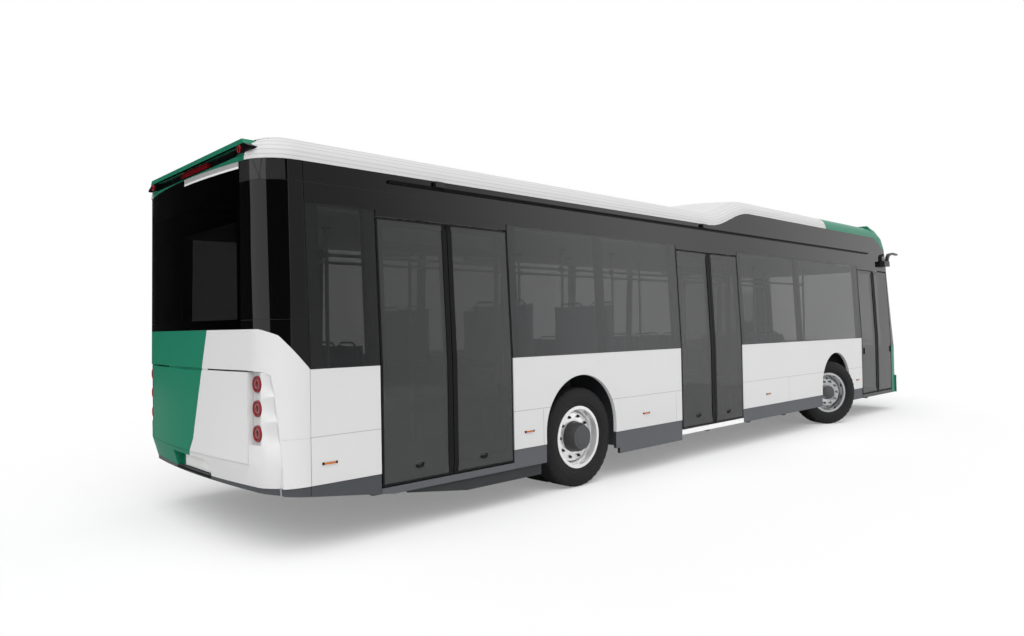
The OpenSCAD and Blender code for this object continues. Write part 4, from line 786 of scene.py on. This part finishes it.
# Number plate. A blank pressed plate with a raised black border, screwed to a dark moulded
# holder with a lamp hood above it; a black strip on the skirt below it is painted shadow.
plate_white = coated("plate_white", "FBFBF9", 0.4, film=0.05, film_top=0.9, peel=200)[0]
dress(plate_white, "number_plate", smooth=False, edge=0.002)
holder_and_shadow = ([], [])
for y0, y1, z0, z1 in ((-0.26, 0.26, 0.478, 0.481), (-0.26, 0.26, 0.58, 0.583), (-0.26, -0.257, 0.478, 0.583),
                       (0.257, 0.26, 0.478, 0.583)):
    add_box(holder_and_shadow, (-5.8182, y0, z0), (-5.817, y1, z1))
add_box(holder_and_shadow, (-5.85, -0.14, 0.586), (-5.806, 0.14, 0.598))
# A thin black strip on the skirt below the plate stands in for the shadow there: painted shadow, not a part.
add_box(holder_and_shadow, (-5.8535, -0.345, 0.458), (-5.8505, 0.345, 0.4742))
mesh_piece("plate_holder", holder_and_shadow, seal_rubber, "body")

# Rear window and sign. Black bonded glass from the hood to the roof, clear in its middle; the
# sign under the spoiler is a pale panel with a white lower edge, blank here.
rear_glass, rear_tree, rear_skin, _ = coated(
    "rear_glass", "010101", 0.02, film=0.0, film_top=3.0, peel=4, bump=0.004, gloss=0.15)
_, gy, gz = place_of(rear_tree)
clear_area = calc(rear_tree, "MULTIPLY", within(rear_tree, gy, -0.86, 0.86), within(rear_tree, gz, 1.64, 2.5))
wire(rear_tree, rear_skin, {"Alpha": calc(rear_tree, "MULTIPLY_ADD", clear_area, -0.24, 1.0)})
dress(rear_glass, "rear_window")
sign_panel, sign_tree, sign_skin, sign_film = coated("sign_panel", "A9A9A9", 0.35, film=0.0, coat=0.4)
sign_foot = calc(sign_tree, "LESS_THAN", place_of(sign_tree)[2], 2.717)
wire(sign_tree, sign_skin, {
    "Base Color": blend(sign_tree, sign_foot, sign_film.outputs["Colour"], tint("F6F6F6"))})
dress(sign_panel, "rear_display")

# Spoiler. A glass-fibre wing bolted to the roof's rear edge, with green lips above and below
# a black recess for the high lamps.
spoiler_paint, spoiler_tree, _, spoiler_film = coated(
    "spoiler_paint", fleet_green, 0.32, film=0.0, bump=0.012, gloss=0.08)
recess = within(spoiler_tree, place_of(spoiler_tree)[2], 2.8026, 2.8672)
wire(spoiler_tree, spoiler_film, {"Colour": blend(spoiler_tree, recess, tint(fleet_green), tint("0C0C0D"))})
dress(spoiler_paint, "rear_spoiler", edge=0.004)

# Front end. Green glass-fibre panel and bumper, a bonded laminated windscreen, twin round lamp
# units on dark lamp blocks, and rubber-bladed wipers on steel arms.
dress(body_green, "front_panel", edge=0.004)
screen_tint = pane("screen_tint", "23272A", 0.62, ior=1.6)[0]
dress(screen_tint, "windscreen")
lamp_cover = pane("lamp_cover", "2E3236", 0.35, rough=0.05)[0]
dress(lamp_cover, "headlamps")
lamp_bezel = coated("lamp_bezel", "1A1B1C", 0.35, film=0.02, film_top=1.0, peel=400, bump=0.04)[0]
lamp_chrome = coated("lamp_chrome", "D5D7D9", 0.12, film=0.02, film_top=1.0, metal=0.9, peel=60, bump=0.02)[0]
lamp_crystal = coated("lamp_crystal", "B8BFC4", 0.06, film=0.0, coat=0.5, peel=80, bump=0.03, gloss=0.8)[0]
forwards = Matrix.Rotation(math.radians(90), 4, "Y")
unit_places = [
    Matrix.Translation((x, hand * y, 0.735)) @ Matrix.Rotation(math.radians(hand * 9.5), 4, "Z") @ forwards
    for hand in (-1, 1) for x, y in ((5.9128, 0.757), (5.8862, 0.918))]
lathe("headlamp_unit", (
    (((0.07, -0.004), (0.07, 0.005), (0.067, 0.008), (0.06, 0.008), (0.056, 0.005)), lamp_bezel),
    (((0.056, 0.005), (0.048, 0.003), (0.04, 0.0065)), lamp_chrome),
    (((0.04, 0.0065), (0.03, 0.011), (0.016, 0.014), (0.0002, 0.015)), lamp_crystal),
), 40, unit_places, ["body"] * 4)
satin_black = coated("satin_black", "1A1A1B", 0.4, film=0.1, film_top=3.0, peel=500, bump=0.08)[0]
dress(satin_black, "wipers", "camera_arms", edge=0.003)

# Doors. Each leaf is a black aluminium frame with flush-bonded tinted glass and rubber edgings
# at its outer side, foot and head; the arms of the gliding doors turn on steel posts.
door_black = coated("door_black", "0B0B0C", 0.55, film=0.05, film_top=0.8, peel=300, bump=0.05, gloss=0.2)[0]
door_tint = pane("door_tint", "404141", 0.3)[0]
arm_steel = coated("arm_steel", "9A9C9E", 0.35, film=0.0, metal=0.9, peel=900, bump=0.05)[0]
for door in ("door1", "door2", "door3"):
    for leaf in ("a", "b"):
        dress(door_black, "%s_frame_%s" % (door, leaf))
        dress(door_tint, "%s_glass_%s" % (door, leaf), smooth=False)
        if door != "door1":
            dress(arm_steel, "%s_post_%s" % (door, leaf))
belt_z, side_lean = 1.285, 0.048
leaf_foot, leaf_head = 0.378, 2.399
leaf_spans = {
    "door1_leaf_a": (4.26, 4.895, -1), "door1_leaf_b": (4.915, 5.55, 1),
    "door2_leaf_a": (-0.942, -0.271, -1), "door2_leaf_b": (-0.263, 0.408, 1),
    "door3_leaf_a": (-4.932, -4.261, -1), "door3_leaf_b": (-4.253, -3.582, 1)}
for body, (x0, x1, outer) in leaf_spans.items():
    edging = ([], [])
    whole_x = (x0 + 0.0005, x1 - 0.0005)
    side_x = (x0 + 0.0005, x0 + 0.0105) if outer < 0 else (x1 - 0.0105, x1 - 0.0005)
    for span_x, heights in ((side_x, (leaf_foot, belt_z, leaf_head)), (whole_x, (leaf_foot, 0.391)),
                            (whole_x, (2.391, leaf_head))):
        k = len(edging[0])
        for z in heights:
            face_y = body_half - max(0.0, z - belt_z) * side_lean
            edging[0].extend((x, -(face_y - inset), z) for x in span_x for inset in (-0.0004, 0.004))
        top = len(edging[0]) - 4
        for m in range(k, top, 4):
            edging[1].extend(((m, m + 2, m + 6, m + 4), (m + 3, m + 1, m + 5, m + 7),
                              (m + 1, m, m + 4, m + 5), (m + 2, m + 3, m + 7, m + 6)))
        edging[1].extend(((k + 1, k + 3, k + 2, k), (top, top + 2, top + 3, top + 1)))
    mesh_piece("edging_" + body, edging, door_black, body)

# Door locks and handles. Cast grey cups with a black paddle, let into the leaves low down on the
# gliding doors, and slim pull handles at waist height on the front door.
cup_grey = coated("cup_grey", "4A4A4C", 0.5, film=0.05, film_top=0.8, peel=500, bump=0.1, gloss=0.3)[0]
for body, x, z in (("door3_leaf_a", -4.595, 0.495), ("door3_leaf_b", -3.932, 0.478),
                   ("door2_leaf_a", -0.614, 0.5), ("door2_leaf_b", 0.057, 0.486)):
    cup = ([], [])
    turns = [2 * math.pi * i / 28 for i in range(28)]
    rim = [(x + 0.05 * math.cos(t), -1.2735, z + 0.028 * math.sin(t)) for t in turns]
    add_tube(cup, rim, 0.004, 6, closed=True)
    rim_count = len(cup[1])
    add_tube(cup, [(x - 0.03, -1.277, z - 0.004), (x - 0.015, -1.278, z - 0.011),
                   (x + 0.015, -1.278, z - 0.011), (x + 0.03, -1.277, z - 0.004)], 0.011, 10)
    add_tube(cup, [(x + 0.028, -1.2755, z + 0.016), (x + 0.034, -1.2755, z - 0.002)], 0.006, 8)
    lock = mesh_piece("lock_" + body, cup, cup_grey, body)
    lock.data.materials.append(door_black)
    lock.data.polygons.foreach_set("material_index", [int(i >= rim_count) for i in range(len(cup[1]))])
    soften(lock)
for body, x in (("door1_leaf_a", 4.343), ("door1_leaf_b", 5.511)):
    pull = ([], [])
    bow = [(x, -1.2755, 1.02), (x, -1.2775, 1.03), (x, -1.2775, 1.11), (x, -1.2755, 1.12)]
    add_tube(pull, bow, 0.011, 10)
    soften(mesh_piece("pull_" + body, pull, door_black, body))

# Wheels. Radial tyres with ribbed tread on polished forged rims; ten nuts hold each rim to a
# cast hub, whose grey cap stands out of the twin rear wheels.
tyre_rubber = coated(
    "tyre_rubber", "171718", 0.7, film=0.06, film_top=1.0, peel=420, bump=0.15, gloss=0.25)[0]
rim_alloy = coated("rim_alloy", "F2F2F2", 0.12, film=0.02, film_top=0.7, metal=0.58, peel=160, bump=0.04)[0]
rim_chrome = coated("rim_chrome", "B9BABB", 0.1, film=0.03, film_top=0.7, metal=1.0, peel=160, bump=0.05)[0]
hub_cast = coated("hub_cast", "48494B", 0.5, film=0.15, film_top=0.7, peel=220, bump=0.15, gloss=0.3)[0]
hub_dark = coated("hub_dark", "2E2E2F", 0.35, film=0.05, film_top=0.7, peel=220, bump=0.1, gloss=0.5)[0]
nut_dark = coated("nut_dark", "1C1C1D", 0.4, film=0.1, film_top=0.7, peel=400, bump=0.1)[0]
dress(rim_chrome, "rim_front_left", "rim_front_right")
dress(rim_alloy, "rim_rear_left", "rim_rear_right")
tyre_radius, groove_radius = 0.4785, 0.4665
outwards = Matrix.Rotation(math.radians(90), 4, "X")
steered = Matrix.Rotation(math.radians(-28), 4, "Z")
half_turn = Matrix.Rotation(math.pi, 4, "Z")
wheel_out = Matrix.Translation((0, -0.1, 0)) @ outwards
front_places = [
    Matrix.Translation((front_axle_x, -1.0, tyre_radius)) @ steered @ wheel_out,
    Matrix.Translation((front_axle_x, 1.0, tyre_radius)) @ steered @ half_turn @ wheel_out]
rear_places = [
    Matrix.Translation((rear_axle_x, -1.1, tyre_radius)) @ outwards,
    Matrix.Translation((rear_axle_x, 1.1, tyre_radius)) @ half_turn @ outwards]
front_bodies = ["wheel_front_right", "wheel_front_left"]
rear_bodies = ["wheel_rear_right", "wheel_rear_left"]
tread = []
for groove in (-0.064, -0.0215, 0.0215, 0.064):
    tread += [(tyre_radius, groove - 0.0065), (groove_radius, groove - 0.0045),
              (groove_radius, groove + 0.0045), (tyre_radius, groove + 0.0065)]
wall = [(0.2865, 0.104), (0.302, 0.1055), (0.309, 0.1135), (0.317, 0.1135), (0.322, 0.1165), (0.346, 0.1275),
        (0.349, 0.131), (0.354, 0.1305), (0.381, 0.1372), (0.404, 0.1372), (0.408, 0.1352), (0.426, 0.1335),
        (0.4585, 0.1215), (0.4735, 0.1095), (tyre_radius, 0.0935)]
tyre_profile = [(r, -z) for r, z in wall] + tread + wall[::-1]
shoulder = {i for i, (r, z) in enumerate(tyre_profile) if r > 0.457 and abs(z) > 0.09}


def shoulder_notch(i, s):
    return 0.007 if i in shoulder and s % 4 == 0 else 0.0


def tyres(places, bodies, nodes, offsets):
    for place, body, cad_node in zip(places, bodies, nodes):
        shifted = [place @ Matrix.Translation((0, 0, offset)) for offset in offsets]
        for piece in lathe("ribbed_" + cad_node, ((tyre_profile, tyre_rubber),), 160, shifted,
                           [body] * len(offsets), shoulder_notch):
            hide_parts(cad_node)


tyres(front_places, front_bodies, ("tyre_front_right", "tyre_front_left"), (0.0,))
tyres(rear_places, rear_bodies, ("tyres_rear_right", "tyres_rear_left"), (0.0, -0.312))


def nuts(places, bodies, height, circle, scale, finish):
    verts = []
    faces = []
    for i in range(10):
        turn = 2 * math.pi * i / 10
        centre = Vector((circle * math.cos(turn), circle * math.sin(turn), height))
        for sides, rings in (
            (20, ((0.0225, 0.0), (0.0225, 0.004), (0.018, 0.006))),
            (6, ((0.0185, 0.006), (0.0185, 0.024), (0.016, 0.027), (0.0115, 0.027))),
            (12, ((0.0105, 0.026), (0.0105, 0.037), (0.009, 0.0385), (0.0002, 0.0385))),
        ):
            k = len(verts)
            around = [2 * math.pi * s / sides + turn for s in range(sides)]
            for radius, up in rings:
                verts += [
                    centre + scale * Vector((radius * math.cos(a), radius * math.sin(a), up)) for a in around]
            for m in range(k, k + (len(rings) - 1) * sides, sides):
                faces += [(m + s, m + (s + 1) % sides, m + sides + (s + 1) % sides, m + sides + s)
                          for s in range(sides)]
    for place, body in zip(places, bodies):
        form = ([place @ v for v in verts], faces)
        soften(mesh_piece("wheel_nuts_" + body, form, finish, body))


nuts(front_places, front_bodies, 0.086, 0.1675, 1.0, rim_chrome)
nuts(rear_places, rear_bodies, 0.045, 0.2, 0.7, nut_dark)
lathe("rear_wheel_disc", (
    (((0.1436, 0.012), (0.1436, 0.037), (0.15, 0.045), (0.224, 0.045), (0.234, 0.04), (0.243, 0.026),
      (0.2495, 0.006), (0.2502, 0.0), (0.2502, -0.006), (0.235, 0.002), (0.1436, 0.012)), rim_alloy),
), 72, rear_places, rear_bodies)
lathe("front_hub_cap", (
    (((0.1, 0.1115), (0.0985, 0.1165), (0.092, 0.1205), (0.06, 0.1235), (0.056, 0.1265), (0.03, 0.128),
      (0.0002, 0.1285)), hub_cast),
), 48, front_places, front_bodies)
lathe("rear_hub_cap", (
    (((0.1435, -0.1395), (0.1435, 0.06), (0.141, 0.1), (0.135, 0.125), (0.123, 0.142), (0.119, 0.155)),
     hub_dark),
    (((0.119, 0.155), (0.114, 0.163), (0.088, 0.165), (0.085, 0.169), (0.05, 0.171), (0.0002, 0.172)),
     hub_cast),
), 64, rear_places, rear_bodies)
